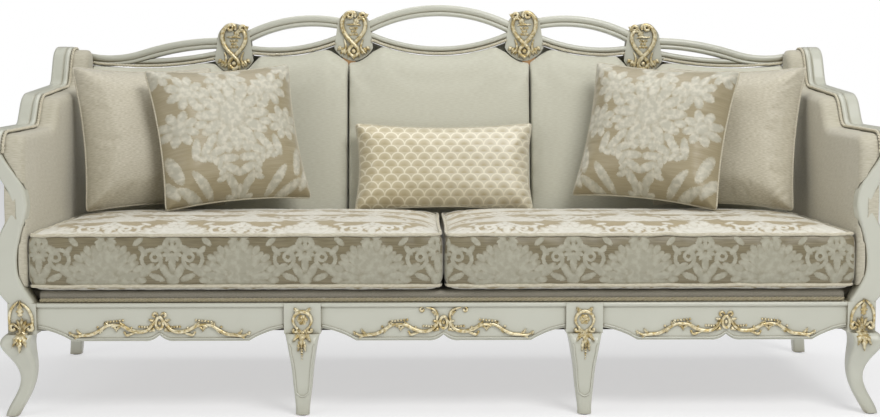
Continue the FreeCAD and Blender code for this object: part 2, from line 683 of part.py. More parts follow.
nodes["back_bottom_rail"] = box(-BACK_POST_INNER, BACK_POST_INNER, PAD_BACK_Y,
                                PAD_BACK_Y + STILE_THICK, PAD_BOTTOM_Z,
                                PAD_BOTTOM_Z + BACK_BOTTOM_RAIL_HEIGHT)
STILE_LOW_Z = PAD_BOTTOM_Z + BACK_BOTTOM_RAIL_HEIGHT
stiles = []
for (block_x, block_z), stile_x in zip(BLOCK_MIDDLES, (SEAM_X, OUTER_CARTOUCHE_X)):
    stile = box(stile_x - STILE_WIDTH / 2.0, stile_x + STILE_WIDTH / 2.0, PAD_BACK_Y,
                PAD_BACK_Y + STILE_THICK, STILE_LOW_Z, block_z - 60.0).cut(CREST)
    stiles += [stile, mirrored(stile)]
nodes["back_stiles"] = Part.makeCompound(stiles)


def bow_height(bow, x):
    """Height of a bow's middle line at a place along the sofa."""
    (ax, az), (bx, bz), (cx, cz) = bow
    return (az * (x - bx) * (x - cx) / ((ax - bx) * (ax - cx))
            + bz * (x - ax) * (x - cx) / ((bx - ax) * (bx - cx))
            + cz * (x - ax) * (x - bx) / ((cx - ax) * (cx - bx)))


def crest_edge_z(x):
    """Height of the crest's lower edge, where the back pads end."""
    x = abs(x)
    for block_x, block_z in BLOCK_MIDDLES:
        off = abs(x - block_x)
        if off < BLOCK_HALF_WIDTH:
            hang = math.cos(math.radians(90.0) * off / BLOCK_HALF_WIDTH) ** 0.6
            return block_z - BLOCK_SHOULDER - (BLOCK_TONGUE - BLOCK_SHOULDER) * hang
    for bow in LOWER_BOWS:
        if bow[0][0] <= x <= bow[2][0]:
            return bow_height(bow, x) - LOWER_HEIGHT / 2.0
    return bow_height(CORNER_BOW, x)


# Upholstery that is fixed to the frame


RAKE = math.tan(math.radians(PAD_RAKE))
PAD_CROWN = 9.0
PAD_ROLL = 62.0            # height of the rounded top of a back pad
PAD_STEP = 36.0


def back_pad_section(x, sunk):
    """Upright section of a back pad: a raked front and a rounded top under the crest."""
    top = crest_edge_z(x) - 0.6
    turn_z = top - PAD_ROLL
    turn_y = PAD_FOOT_Y + sunk + (turn_z - PAD_BOTTOM_Z) * RAKE
    middle = arc_middle((turn_y, turn_z), (PAD_BACK_Y - 1.0, top), (RAKE, 1.0))
    points = [(PAD_BACK_Y, PAD_BOTTOM_Z), (PAD_FOOT_Y + sunk + 14.0, PAD_BOTTOM_Z),
              ("via", PAD_FOOT_Y + sunk + 3.0, PAD_BOTTOM_Z + 4.0),
              (PAD_FOOT_Y + sunk + 16.0 * RAKE, PAD_BOTTOM_Z + 16.0), (turn_y, turn_z),
              ("via", middle[0], middle[1]), (PAD_BACK_Y - 1.0, top), (PAD_BACK_Y, top)]
    return outline(points, side_view(x))


def back_pad(x0, x1):
    """A back pad between two seams, fullest between them."""
    count = int(math.ceil((x1 - x0) / PAD_STEP))
    wires = []
    for step in range(count + 1):
        share = step / count
        edge = abs(2.0 * share - 1.0)
        wires.append(back_pad_section(x0 + share * (x1 - x0),
                                      PAD_LEAST_SUNK + PAD_CROWN * edge ** 8))
    return Part.makeLoft(wires, True, True)


nodes["back_pad_centre"] = back_pad(-SEAM_X, SEAM_X)
nodes["back_pad_right"] = back_pad(SEAM_X + 0.3, ARM_PAD_INNER - 0.3)
nodes["back_pad_left"] = mirrored(nodes["back_pad_right"])

TACK_RAIL_INNER = ARM_RAIL_INNER + 1.0 - TACK_RAIL_THICK
tack_rail = box(TACK_RAIL_INNER, ARM_RAIL_INNER + 1.0, -410.0, BACK_FRONT_Y,
                TACK_RAIL_BOTTOM_Z, TACK_RAIL_BOTTOM_Z + TACK_RAIL_HEIGHT)
nodes["arm_tack_rail_right"] = tack_rail.cut(nodes["front_post_right"])
nodes["arm_tack_rail_left"] = mirrored(nodes["arm_tack_rail_right"])

GIMP_RISE = 12.0           # middle of the arm gimp above the middle of the rail
PAD_TOP_RISE = GIMP_RISE - GIMP_RADIUS
ARM_PAD_ROUND = 18.0


def arm_pad():
    """A pad that stands a little above the rail, its inner edge rounded over."""
    path = ARM_PATH[:-1] + [(BACK_FRONT_Y, EAR_Z)]
    corners, radii = parallel(path, ARM_RADII, PAD_TOP_RISE)
    face = Part.Face(area_under(corners, radii, PAD_BOTTOM_Z, side_view(ARM_PAD_INNER)))
    slab = face.extrude(Vector(ARM_RAIL_INNER - ARM_PAD_INNER, 0, 0))
    rounded = [edge for edge in slab.Edges
               if all(abs(point.X - ARM_PAD_INNER) < 0.01 for point in edge.Vertexes)
               and max(point.Z for point in edge.Vertexes) > PAD_BOTTOM_Z + 1.0
               and edge.BoundBox.YMin < BACK_FRONT_Y - 1.0]
    return slab.makeFillet(ARM_PAD_ROUND, rounded)


nodes["arm_pad_right"] = arm_pad().cut(nodes["arm_tack_rail_right"])
nodes["arm_pad_right"] = nodes["arm_pad_right"].cut(nodes["front_post_right"])
nodes["arm_pad_left"] = mirrored(nodes["arm_pad_right"])

panel_corners, panel_radii = parallel(ARM_PATH, ARM_RADII, -10.0)
panel = Part.Face(area_under(panel_corners, panel_radii, SEAT_FRAME_Z,
                             side_view(ARM_RAIL_INNER + 1.0))).extrude(Vector(PANEL_THICK, 0, 0))
panel = panel.common(box(ARM_RAIL_INNER, ARM_OUTER, POST_BACK_Y, BACK_FRONT_Y, SEAT_FRAME_Z,
                         EAR_Z))
nodes["outside_arm_panel_right"] = panel.cut(nodes["arm_rail_right"])
nodes["outside_arm_panel_left"] = mirrored(nodes["outside_arm_panel_right"])
PANEL_SPACE = 2.5          # from the outside back panel up to the crest's lower edge


def outside_back():
    """A thin panel behind the stiles, cut to the lower line of the crest."""
    drop = LOWER_HEIGHT / 2.0 + PANEL_SPACE
    bows = [[(x, z - drop) for x, z in bow] for bow in LOWER_BOWS]
    right = []
    for start, middle, end in bows[:0:-1]:
        right += [end, ("via", *middle), start]
    left = [(-p[0], p[1]) if p[0] != "via" else ("via", -p[1], p[2]) for p in reversed(right)]
    start, middle, end = bows[0]
    corner_z = CORNER_BOW[1][1] - PANEL_SPACE
    points = [(-BACK_POST_INNER, SEAT_FRAME_Z), (BACK_POST_INNER, SEAT_FRAME_Z),
              (BACK_POST_INNER, corner_z)]
    points += right + [end, ("via", *middle), start] + left
    points.append((-BACK_POST_INNER, corner_z))
    sheet = plate(points, front_view(PAD_BACK_Y + STILE_THICK), Vector(0, PANEL_THICK, 0))
    return sheet.cut(nodes["crest_blocks"])


nodes["outside_back_panel"] = outside_back()


# Trims and carvings


def crest_block_front(x, z):
    """The space in front of a crest block, which its carving takes."""
    return crest_block(x, z).translated(Vector(0, -BACK_THICK, 0))


carving_spaces = [crest_block_front(x, z) for x, z in BLOCK_MIDDLES]
carving_spaces += [mirrored(space) for space in carving_spaces]
UNDER_CARVING = 4.0        # room in the back pads below each carving
pad_stops = crest_blocks + carving_spaces
pad_stops += [space.translated(Vector(0, 0, -UNDER_CARVING)) for space in carving_spaces]
for name in ("back_pad_centre", "back_pad_right", "back_pad_left"):
    nodes[name] = trimmed(nodes[name], pad_stops)
gimp_section = shift(round_bar(GIMP_RADIUS), GIMP_RADIUS - LOWER_HEIGHT / 2.0, -GIMP_RADIUS)
# Where the gimp of each bow starts and ends, beside the blocks
GIMP_ENDS = [(59.5 - INNER_CARTOUCHE_X, INNER_CARTOUCHE_X - 59.5),
             (INNER_CARTOUCHE_X + 61.0, OUTER_CARTOUCHE_X - 60.0),
             (OUTER_CARTOUCHE_X + 66.0, LOWER_BOWS[-1][2][0])]
gimps = []
for bow, (start_x, end_x) in zip(LOWER_BOWS, GIMP_ENDS):
    gimps.append(bowed(gimp_section, (start_x, bow_height(bow, start_x)), bow[1],
                       (end_x, bow_height(bow, end_x)), "front", BACK_FRONT_Y))
corner_gimp = bowed(shift(round_bar(GIMP_RADIUS), GIMP_RADIUS, -GIMP_RADIUS),
                    (CORNER_BOW[0][0] + 2.0, CORNER_BOW[0][1]), *CORNER_BOW[1:], "front",
                    BACK_FRONT_Y)
gimps += [mirrored(one) for one in gimps[1:]] + [corner_gimp, mirrored(corner_gimp)]
gimp_stops = Part.makeCompound([nodes["arm_pad_right"], nodes["arm_pad_left"]])
nodes["back_gimp"] = Part.makeCompound(gimps[:-2] + [one.cut(gimp_stops) for one in gimps[-2:]])
nodes["arm_gimp_right"] = sweep(shift(round_bar(GIMP_RADIUS), GIMP_RISE, -GIMP_RADIUS),
                                ARM_PATH[:-1] + [(BACK_FRONT_Y, EAR_Z)], ARM_RADII, "side",
                                ARM_RAIL_INNER)
nodes["arm_gimp_left"] = mirrored(nodes["arm_gimp_right"])

SCROLL_RADIUS = 4.5
CARTOUCHE_SCROLL = 6.0


def dome(x, z, y, radius, height):
    """A carved boss turned about Y: a rim, a hollow and a raised middle."""
    points = [(0.0, z), (0.0, z + radius), (0.25 * height, z + radius),
              ("via", 0.55 * height, z + 0.86 * radius), (0.35 * height, z + 0.6 * radius),
              (0.85 * height, z + 0.4 * radius), (height, z + 0.15 * radius), (height, z)]
    face = Part.Face(outline(points, lambda out, b: Vector(x, y - out, b)))
    return face.revolve(Vector(x, y, z), Vector(0, 1, 0), 360.0)


def carved_bows(bows, radius, y):
    """Round-faced scrolls that lie on a flat face."""
    return [bowed(half_round(radius), *bow, "front", y) for bow in bows]


def flipped(bows, x):
    """The same scrolls on the other side of an upright line."""
    return [[(2.0 * x - px, pz) for px, pz in bow] for bow in bows]


def apron_carving(x):
    """A ring with a pair of long scroll sprays along the lower edge of an apron."""
    base = APRON_NOTCH_Z + 28.0
    spray = [[(x + 20.0, base + 4.0), (x + 44.0, base - 18.0), (x + 78.0, base - 16.0)],
             [(x + 84.0, base - 22.0), (x + 118.0, base - 12.0), (x + 150.0, base - 28.0)],
             [(x + 157.0, base - 22.0), (x + 190.0, base - 32.0), (x + 226.0, base - 34.0)],
             [(x + 60.0, base + 0.0), (x + 82.0, base + 8.0), (x + 100.0, base + 2.0)]]
    scrolls = carved_bows(spray + flipped(spray, x), SCROLL_RADIUS, APRON_FRONT_Y)
    return scrolls + [dome(x, base, APRON_FRONT_Y, 14.0, 8.0)]


def centre_carving():
    """The centre apron adds two tall scrolls that reach its moulding."""
    top = SEAT_FRAME_Z - MOULDING_HEIGHT - SCROLL_RADIUS - 1.0
    tall = [[(26.0, top - 34.0), (66.0, top - 24.0), (58.0, top - 2.0)]]
    scrolls = carved_bows(tall + flipped(tall, 0.0), SCROLL_RADIUS, APRON_FRONT_Y)
    return apron_carving(0.0) + scrolls


nodes["apron_carving_centre"] = Part.makeCompound(centre_carving())
nodes["apron_carving_right"] = Part.makeCompound(apron_carving(NOTCH_X))
nodes["apron_carving_left"] = mirrored(nodes["apron_carving_right"])
ROSETTE_RADIUS = 27.0
rosette = dome(MID_LEG_X, SEAT_FRAME_Z - 45.0, BLOCK_FRONT_Y, ROSETTE_RADIUS, 11.0)
nodes["leg_rosettes"] = Part.makeCompound([rosette, mirrored(rosette)])
KNEE_X = (POST_INNER + POST_OUTER) / 2.0
knee_bows = [[(KNEE_X - 22.0, 224.0), (KNEE_X - 30.0, 252.0), (KNEE_X - 12.0, 284.0)],
             [(KNEE_X - 2.0, 222.0), (KNEE_X + 6.0, 250.0), (KNEE_X, 280.0)],
             [(KNEE_X + 16.0, 222.0), (KNEE_X + 28.0, 244.0), (KNEE_X + 22.0, 284.0)]]
knees = carved_bows(knee_bows, CARTOUCHE_SCROLL, BLOCK_FRONT_Y)
nodes["knee_carvings"] = Part.makeCompound(knees + [mirrored(one) for one in knees])


def cartouche(x, z):
    """Crossed scrolls round a pierced boss, with a tail that hangs over the fabric."""
    loop = [[(x - 8.0, z - 42.0), (x - 41.0, z + 10.0), (x - 14.0, z + 58.0)],
            [(x - 8.0, z - 52.0), (x - 24.0, z - 62.0), (x - 9.0, z - 73.0)]]
    scrolls = carved_bows(loop + flipped(loop, x), CARTOUCHE_SCROLL, BACK_FRONT_Y)
    bosses = [dome(x, z + 12.0, BACK_FRONT_Y, 20.0, 12.0), dome(x, z + 62.0, BACK_FRONT_Y, 8.0, 9.0)]
    return Part.makeCompound(scrolls + bosses)


for name, (x, z) in zip(("inner", "outer"), BLOCK_MIDDLES):
    nodes["cartouche_right_" + name] = cartouche(x, z)
    nodes["cartouche_left_" + name] = mirrored(nodes["cartouche_right_" + name])


# Loose cushions and pillows


def drawn_outline(half_a, half_b, draw, radius, to_space):
    """A four-sided outline whose sides are drawn in between round corners."""
    k = radius * (1.0 - math.sqrt(0.5))
    a, b, r = half_a, half_b, radius
    points = [(-a + r, -b), ("via", 0.0, -b + draw), (a - r, -b), ("via", a - k, -b + k),
              (a, -b + r), ("via", a - draw, 0.0), (a, b - r), ("via", a - k, b - k),
              (a - r, b), ("via", 0.0, b - draw), (-a + r, b), ("via", -a + k, b - k),
              (-a, b - r), ("via", -a + draw, 0.0), (-a, -b + r), ("via", -a + k, -b + k)]
    return outline(points, to_space)


CUSHION_BACK_SPACE = 6.0
CUSHION_SIDE_SPACE = 2.0
CUSHION_MIDDLE_SPACE = 1.5
CUSHION_CORNER = 24.0
CUSHION_BACK_Y = PAD_FOOT_Y - CUSHION_BACK_SPACE
CUSHION_HALF_X = (ARM_PAD_INNER - CUSHION_SIDE_SPACE - CUSHION_MIDDLE_SPACE) / 2.0
CUSHION_HALF_Y = (CUSHION_BACK_Y - CUSHION_FRONT_Y) / 2.0
CUSHION_X = CUSHION_MIDDLE_SPACE + CUSHION_HALF_X
CUSHION_Y = (CUSHION_BACK_Y + CUSHION_FRONT_Y) / 2.0
CUSHION_FOOT_Z = DECK_TOP_Z + CUSHION_CLEAR
# Upper rows of a seat cushion: height, inset from its widest outline, draw of its sides
CUSHION_CROWN_ROWS = [(CUSHION_HEIGHT - 14.0, 0.0, 4.0), (CUSHION_HEIGHT - 3.0, 9.0, 6.0),
                      (CUSHION_HEIGHT + 0.42 * CUSHION_CROWN, 0.2 * CUSHION_HALF_Y, 5.0),
                      (CUSHION_HEIGHT + 0.8 * CUSHION_CROWN, 0.48 * CUSHION_HALF_Y, 4.0),
                      (CUSHION_HEIGHT + CUSHION_CROWN, 0.85 * CUSHION_HALF_Y, 2.0)]


def seat_cushion():
    """A boxed cushion: drawn-in border between two pipings, crowned top."""
    rows = [(0.0, 34.0, 8.0), (5.0, 12.0, 6.0), (15.0, 0.0, 4.0),
            (0.5 * CUSHION_HEIGHT, 0.0, 7.0)] + CUSHION_CROWN_ROWS
    wires = []
    for rise, inset, draw in rows:
        z = CUSHION_FOOT_Z + rise
        wires.append(drawn_outline(CUSHION_HALF_X - inset, CUSHION_HALF_Y - inset, draw,
                                   CUSHION_CORNER,
                                   lambda a, b: Vector(CUSHION_X + a, CUSHION_Y + b, z)))
    return Part.makeLoft(wires, True, True)


def cushion_height(x, y):
    """Height of the seat's crown at a place, as high as it gets there as a cushion comes out."""
    behind_middle = max(0.0, y - CUSHION_Y)
    inset = min(CUSHION_HALF_X - abs(abs(x) - CUSHION_X), CUSHION_HALF_Y - behind_middle)
    if inset < 0.0:
        return 0.0
    rows = CUSHION_CROWN_ROWS
    for (low, near, _), (high, far, _) in zip(rows, rows[1:]):
        if inset <= far:
            return CUSHION_FOOT_Z + low + (high - low) * (inset - near) / (far - near)
    return CUSHION_FOOT_Z + rows[-1][0]


nodes["seat_cushion_right"] = seat_cushion()
nodes["seat_cushion_left"] = mirrored(nodes["seat_cushion_right"])

PILLOW_ROWS = [(0.0, 0.0), (0.2, 0.03), (0.48, 0.10), (0.74, 0.20), (0.91, 0.34), (1.0, 0.52)]
PILLOW_DRAW = 15.0
PILLOW_CORNER = 10.0


def pillow(width, height, half_thick):
    """A knife-edged pillow about the origin: crowned faces, sides drawn in between its corners."""
    rows = [(-t, inset) for t, inset in PILLOW_ROWS[:0:-1]] + PILLOW_ROWS
    least = min(width, height) / 2.0
    wires = []
    for thick, share in rows:
        inset = share * least
        wires.append(drawn_outline(width / 2.0 - inset, height / 2.0 - inset,
                                   PILLOW_DRAW * (1.0 - share), PILLOW_CORNER,
                                   front_view(thick * half_thick)))
    return Part.makeLoft(wires, True, True)


PILLOW_GRID = 9


def half_thickness(size, a, b):
    """Half the thickness of a pillow at a place on its face."""
    width, height, half_thick = size
    share = 2.0 * min(width / 2.0 - abs(a), height / 2.0 - abs(b)) / min(width, height)
    if share <= 0.0:
        return 0.0
    for (low, near), (high, far) in zip(PILLOW_ROWS, PILLOW_ROWS[1:]):
        if share <= far:
            return half_thick * (low + (high - low) * (share - near) / (far - near))
    return half_thick


def face_points(size):
    """Points (a, half thickness, b) over a pillow's face: a grid, and every corner of its rows."""
    width, height, half_thick = size
    points = []
    for row in range(-PILLOW_GRID, PILLOW_GRID + 1):
        for line in range(-PILLOW_GRID, PILLOW_GRID + 1):
            a, b = width / 2.0 * row / PILLOW_GRID, height / 2.0 * line / PILLOW_GRID
            points.append((a, half_thickness(size, a, b), b))
    for thick, share in PILLOW_ROWS:
        inset = share * min(width, height) / 2.0
        for side in (-1.0, 1.0):
            for end in (-1.0, 1.0):
                points.append((side * (width / 2.0 - inset), thick * half_thick,
                               end * (height / 2.0 - inset)))
    return points


def skin_points(size, place):
    """Points spread over both faces of a pillow where it lies."""
    points = []
    for a, thick, b in face_points(size):
        points += [place.multVec(Vector(a, thick, b)), place.multVec(Vector(a, -thick, b))]
    return points


def overlap_of(size, place, other_size, other_place, way):
    """How far the skin of one pillow reaches into another, along the other's thickness."""
    into = other_place.inverse()
    deepest = -1.0e6
    for point in skin_points(size, place):
        near = into.multVec(point)
        if abs(near.x) < other_size[0] / 2.0 and abs(near.z) < other_size[1] / 2.0:
            deepest = max(deepest, half_thickness(other_size, near.x, near.z) + way * near.y)
    return deepest


def resting_place(size, x, yaw, lean, roll, behind=None):
    """Stands a pillow on the seat cushions, leaning on a back pad or on the pillow behind."""
    turn = Rotation(Vector(0, 0, 1), yaw).multiply(Rotation(Vector(1, 0, 0), -lean))
    turn = turn.multiply(Rotation(Vector(0, 1, 0), roll))
    y, z = 0.0, CUSHION_FOOT_Z + size[1]
    for _ in range(SETTLING_ROUNDS):
        points = skin_points(size, Placement(Vector(x, y, z), turn))
        z -= min(point.z - cushion_height(point.x, point.y) for point in points) - PILLOW_GAP
        points = skin_points(size, Placement(Vector(x, y, z), turn))
        y += min(PAD_FOOT_Y + PAD_LEAST_SUNK - PILLOW_GAP + (point.z - PAD_BOTTOM_Z) * RAKE
                 - point.y for point in points)
        if behind:
            back_size, back_place = behind
            place = Placement(Vector(x, y, z), turn)
            overlap = max(overlap_of(back_size, back_place, size, place, -1.0),
                          overlap_of(size, place, back_size, back_place, 1.0))
            forwards = turn.multVec(Vector(0, 1, 0)).y
            y -= max(0.0, overlap + PILLOW_GAP + PILLOW_SPARE) / forwards
    return Placement(Vector(x, y, z), turn)


def stood(name, size, x, yaw, lean, roll, behind=None):
    """Makes a pillow and stands it where it rests."""
    place = resting_place(size, x, yaw, lean, roll, behind)
    shape = pillow(*size)
    shape.Placement = place
    nodes[name] = shape
    return size, place


PLAIN = (PLAIN_SIZE, PLAIN_SIZE, PILLOW_HALF_THICK)
DAMASK = (PILLOW_SIZE, DAMASK_HEIGHT, PILLOW_HALF_THICK)
LUMBAR = (LUMBAR_WIDTH, LUMBAR_HEIGHT, LUMBAR_HALF_THICK)
plain_left = stood("pillow_plain_left", PLAIN, -PLAIN_X, 30.0, 15.0, 0.0)
stood("pillow_damask_left", DAMASK, -DAMASK_X, 25.0, 18.0, -3.0, plain_left)
stood("pillow_lumbar", LUMBAR, LUMBAR_X, 0.0, 14.0, 0.0)
plain_right = stood("pillow_plain_right", PLAIN, PLAIN_X, -30.0, 15.0, 0.0)
stood("pillow_damask_right", DAMASK, DAMASK_X + 12.0, -27.0, 18.0, 4.0, plain_right)

os.makedirs("parts", exist_ok=True)
for name, shape in nodes.items():
    shape.exportStep("parts/" + name + ".step")
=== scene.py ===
import json
import logging
import math
from collections.abc import Callable
from dataclasses import dataclass, field
from enum import Enum
from functools import partial

import bmesh
import bpy
from bpy.types import Material, Node, NodeSocket, NodeTree, Object
from mathutils import Matrix, Vector, noise
from mathutils.bvhtree import BVHTree
from mathutils.kdtree import KDTree

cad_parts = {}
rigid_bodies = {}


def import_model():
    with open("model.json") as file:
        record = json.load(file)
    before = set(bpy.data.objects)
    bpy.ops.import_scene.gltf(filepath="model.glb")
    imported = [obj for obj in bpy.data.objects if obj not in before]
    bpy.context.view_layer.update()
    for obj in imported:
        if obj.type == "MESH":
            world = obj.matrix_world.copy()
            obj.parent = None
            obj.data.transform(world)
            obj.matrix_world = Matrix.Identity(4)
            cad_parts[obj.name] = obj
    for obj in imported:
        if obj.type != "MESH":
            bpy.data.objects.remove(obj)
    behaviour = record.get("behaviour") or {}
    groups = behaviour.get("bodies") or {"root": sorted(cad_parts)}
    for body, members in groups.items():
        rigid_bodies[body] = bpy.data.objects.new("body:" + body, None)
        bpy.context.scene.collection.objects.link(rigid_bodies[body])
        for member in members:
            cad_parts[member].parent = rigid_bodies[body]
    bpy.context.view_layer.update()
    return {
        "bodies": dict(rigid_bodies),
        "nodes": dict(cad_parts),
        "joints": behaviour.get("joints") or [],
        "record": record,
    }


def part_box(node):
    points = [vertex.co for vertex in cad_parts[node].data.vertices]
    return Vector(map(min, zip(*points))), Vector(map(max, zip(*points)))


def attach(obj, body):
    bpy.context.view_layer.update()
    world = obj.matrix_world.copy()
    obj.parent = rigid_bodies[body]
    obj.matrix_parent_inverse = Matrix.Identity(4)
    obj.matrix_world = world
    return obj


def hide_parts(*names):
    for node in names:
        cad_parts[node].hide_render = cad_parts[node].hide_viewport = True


# Looks of a carved and painted sofa with a pierced crest, gilt carvings, two loose
# seat cushions and five pillows. Metres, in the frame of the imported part.

LOG = logging.getLogger("sofa")
MM = 0.001
WHITE = "#FFFFFF"


class Body(Enum):
    """The bodies that a piece can ride on."""

    FRAME = "root"
    SEAT_LEFT = "seat_cushion_left"
    SEAT_RIGHT = "seat_cushion_right"
    PLAIN_LEFT = "pillow_plain_left"
    PLAIN_RIGHT = "pillow_plain_right"
    DAMASK_LEFT = "pillow_damask_left"
    DAMASK_RIGHT = "pillow_damask_right"
    LUMBAR = "pillow_lumbar"


class Side(Enum):
    """Left or right of the sofa, as the sign of X."""

    LEFT = -1
    RIGHT = 1

    @property
    def word(self) -> str:
        """The side's name as nodes spell it."""
        return self.name.lower()


# Materials


def linear(hex_colour: str) -> tuple[float, float, float, float]:
    """Turns an sRGB hex colour to linear RGBA.

    Args:
        hex_colour: A colour such as "#C9CBBE".

    Returns:
        The linear colour with an alpha of 1.
    """
    shares = [int(hex_colour[at:at + 2], 16) / 255.0 for at in (1, 3, 5)]
    bent = [c / 12.92 if c <= 0.04045 else ((c + 0.055) / 1.055) ** 2.4 for c in shares]
    return bent[0], bent[1], bent[2], 1.0


def add_node(tree: NodeTree, kind: str, settings: dict | None = None,
             inputs: dict | None = None) -> Node:
    """Adds a node with its settings, values and links.

    Args:
        tree: The material's node tree.
        kind: The node's type without "ShaderNode", such as "Math".
        settings: The node's own properties.
        inputs: A value or a linked output for each input, by name or place.

    Returns:
        The new node.
    """
    node = tree.nodes.new("ShaderNode" + kind)
    for name, value in (settings or {}).items():
        setattr(node, name, value)
    for name, value in (inputs or {}).items():
        if isinstance(value, NodeSocket):
            tree.links.new(value, node.inputs[name])
        else:
            node.inputs[name].default_value = value
    return node


MIX_A, MIX_B, MIX_COLOUR = 6, 7, 2       # sockets of a Mix node that mixes colours
COLOURS = {"data_type": "RGBA"}          # that node's settings
SMOOTH = {"interpolation_type": "SMOOTHSTEP"}
FLAT = {"noise_dimensions": "2D"}


@dataclass(frozen=True)
class Finish:
    """What every finish shares: a name and a principled shader."""

    name: str

    def started(self) -> tuple[Material, NodeTree, Node]:
        """Makes an empty material with a principled shader.

        Returns:
            The material, its tree and its shader.
        """
        material = bpy.data.materials.new(self.name)
        material.use_nodes = True
        tree = material.node_tree
        return material, tree, tree.nodes["Principled BSDF"]

    @staticmethod
    def surfaced(tree: NodeTree, shader: Node, colour: NodeSocket,
                 height: NodeSocket, relief: tuple[float, float],
                 inputs: dict) -> None:
        """Links a colour and a relief to the shader and sets its other inputs.

        Args:
            tree: The material's node tree.
            shader: Its shader.
            colour: The base colour.
            height: The relief's height.
            relief: The relief's strength and its depth in millimetres.
            inputs: A value or a linked output for each other input.
        """
        add = partial(add_node, tree)
        bump = add("Bump", {},
                   {"Height": height, "Strength": relief[0], "Distance": relief[1] * MM})
        links = {"Base Color": colour, "Normal": bump.outputs["Normal"], **inputs}
        for name, value in links.items():
            if isinstance(value, NodeSocket):
                tree.links.new(value, shader.inputs[name])
            else:
                shader.inputs[name].default_value = value

    @staticmethod
    def toned(tree: NodeTree, colour: NodeSocket, tone: str, near_mm: float,
              ends: tuple[float, float], most: float) -> NodeSocket:
        """Darkens a colour in hollows and inner corners: the paint's glaze and the gilding's
        tone with a short reach, and a painted shade with a long one.

        Args:
            tree: The material's node tree.
            colour: The colour in the open.
            tone: The colour mixed in where a place is hollow.
            near_mm: How near a hollow's walls are.
            ends: How open a place is where the tone is strongest and where it ends.
            most: The tone's greatest share.

        Returns:
            The darkened colour.
        """
        add = partial(add_node, tree)
        hollow = add("AmbientOcclusion", {"samples": 4}, {"Distance": near_mm * MM})
        share = add("MapRange", SMOOTH,
                    {"Value": hollow.outputs["AO"], "From Min": ends[0],
                     "From Max": ends[1], "To Min": most, "To Max": 0.0})
        return add("Mix", COLOURS,
                   {"Factor": share.outputs["Result"], MIX_A: colour,
                    MIX_B: linear(tone)}).outputs[MIX_COLOUR]


@dataclass(frozen=True)
class PaintedWood(Finish):
    """Lacquered beech: a stone-white paint with brown glaze left in its hollows.

    The paint gives a soft satin gloss; the wiped glaze darkens every groove and inner
    corner, and faint brush marks run through both. A wider painted shade darkens the
    paint wherever other parts stand near, where shade falls.
    """

    paint: str = "#C4C5B8"
    cloud: str = "#B9B9AB"
    glaze: str = "#6E6449"
    # Colour and reach of the painted shade near other parts
    wash: str = "#989179"
    wash_mm: float = 60.0
    brush_mm: float = 2.5
    groove_mm: float = 18.0
    roughness: float = 0.36

    def build(self) -> Material:
        """Makes the material.

        Returns:
            The material.
        """
        material, tree, shader = self.started()
        add = partial(add_node, tree)
        place = add("TexCoord").outputs["Object"]
        clouds = add("TexNoise", {}, {"Vector": place, "Scale": 7.0, "Detail": 5.0})
        paint = add("Mix", COLOURS,
                    {"Factor": clouds.outputs["Fac"], MIX_A: linear(self.paint),
                     MIX_B: linear(self.cloud)})
        # Painted shade: a soft darkening wherever other parts stand within the reach
        with_painted_shade = self.toned(tree, paint.outputs[MIX_COLOUR], self.wash, self.wash_mm,
                            (0.3, 0.95), 0.6)
        glazed = self.toned(tree, with_painted_shade, self.glaze, self.groove_mm, (0.25, 0.86), 0.82)
        strokes = add("Mapping", {}, {"Vector": place, "Scale": (0.12, 1.0, 1.0)})
        brush = add("TexNoise", {},
                    {"Vector": strokes.outputs["Vector"], "Scale": 1.0 / (self.brush_mm * MM),
                     "Detail": 3.0})
        self.surfaced(tree, shader, glazed, brush.outputs["Fac"], (0.12, 0.4),
                      {"Roughness": self.roughness, "Coat Weight": 0.25, "Coat Roughness": 0.3})
        return material


@dataclass(frozen=True)
class Gilding(Finish):
    """Gold leaf on carved wood, rubbed back in random patches and darkened with a tone in its
    hollows.

    The leaf gives a soft metal shine, broken by random pale, duller patches: ground that
    shows through the rubbed leaf, in a colour that is also a painted highlight.
    """

    leaf: str = "#BBA671"
    pale_leaf: str = "#E6DDBD"
    tone: str = "#4E3D1D"
    patch_mm: float = 9.0
    groove_mm: float = 6.0

    def build(self) -> Material:
        """Makes the material.

        Returns:
            The material.
        """
        material, tree, shader = self.started()
        add = partial(add_node, tree)
        place = add("TexCoord").outputs["Object"]
        patches = add("TexNoise", {},
                      {"Vector": place, "Scale": 1.0 / (self.patch_mm * MM), "Detail": 4.0})
        worn = add("MapRange", {},
                   {"Value": patches.outputs["Fac"], "From Min": 0.38, "From Max": 0.62})
        # Random patches of rubbed-through ground, coloured as a painted highlight
        leaf = add("Mix", COLOURS,
                   {"Factor": worn.outputs["Result"], MIX_A: linear(self.leaf),
                    MIX_B: linear(self.pale_leaf)})
        toned = self.toned(tree, leaf.outputs[MIX_COLOUR], self.tone, self.groove_mm,
                           (0.2, 0.85), 0.85)
        metal = add("MapRange", {},
                    {"Value": worn.outputs["Result"], "To Min": 0.62, "To Max": 0.2})
        self.surfaced(tree, shader, toned, patches.outputs["Fac"], (0.25, 0.5),
                      {"Metallic": metal.outputs["Result"], "Roughness": 0.33})
        return material


@dataclass(frozen=True)
class BareWood(Finish):
    """Planed beech: pale, straight-grained and unfinished, for the hidden frame."""

    light: str = "#C79F72"
    dark: str = "#A67C50"
    grain_mm: float = 4.0

    def build(self) -> Material:
        """Makes the material.

        Returns:
            The material.
        """
        material, tree, shader = self.started()
        add = partial(add_node, tree)
        place = add("TexCoord").outputs["Object"]
        along = add("Mapping", {}, {"Vector": place, "Scale": (0.08, 1.0, 1.0)})
        grain = add("TexNoise", {},
                    {"Vector": along.outputs["Vector"], "Scale": 1.0 / (self.grain_mm * MM),
                     "Detail": 6.0, "Distortion": 0.6})
        colour = add("Mix", COLOURS,
                     {"Factor": grain.outputs["Fac"], MIX_A: linear(self.light),
                      MIX_B: linear(self.dark)})
        self.surfaced(tree, shader, colour.outputs[MIX_COLOUR], grain.outputs["Fac"], (0.2, 0.3),
                      {"Roughness": 0.62})
        return material


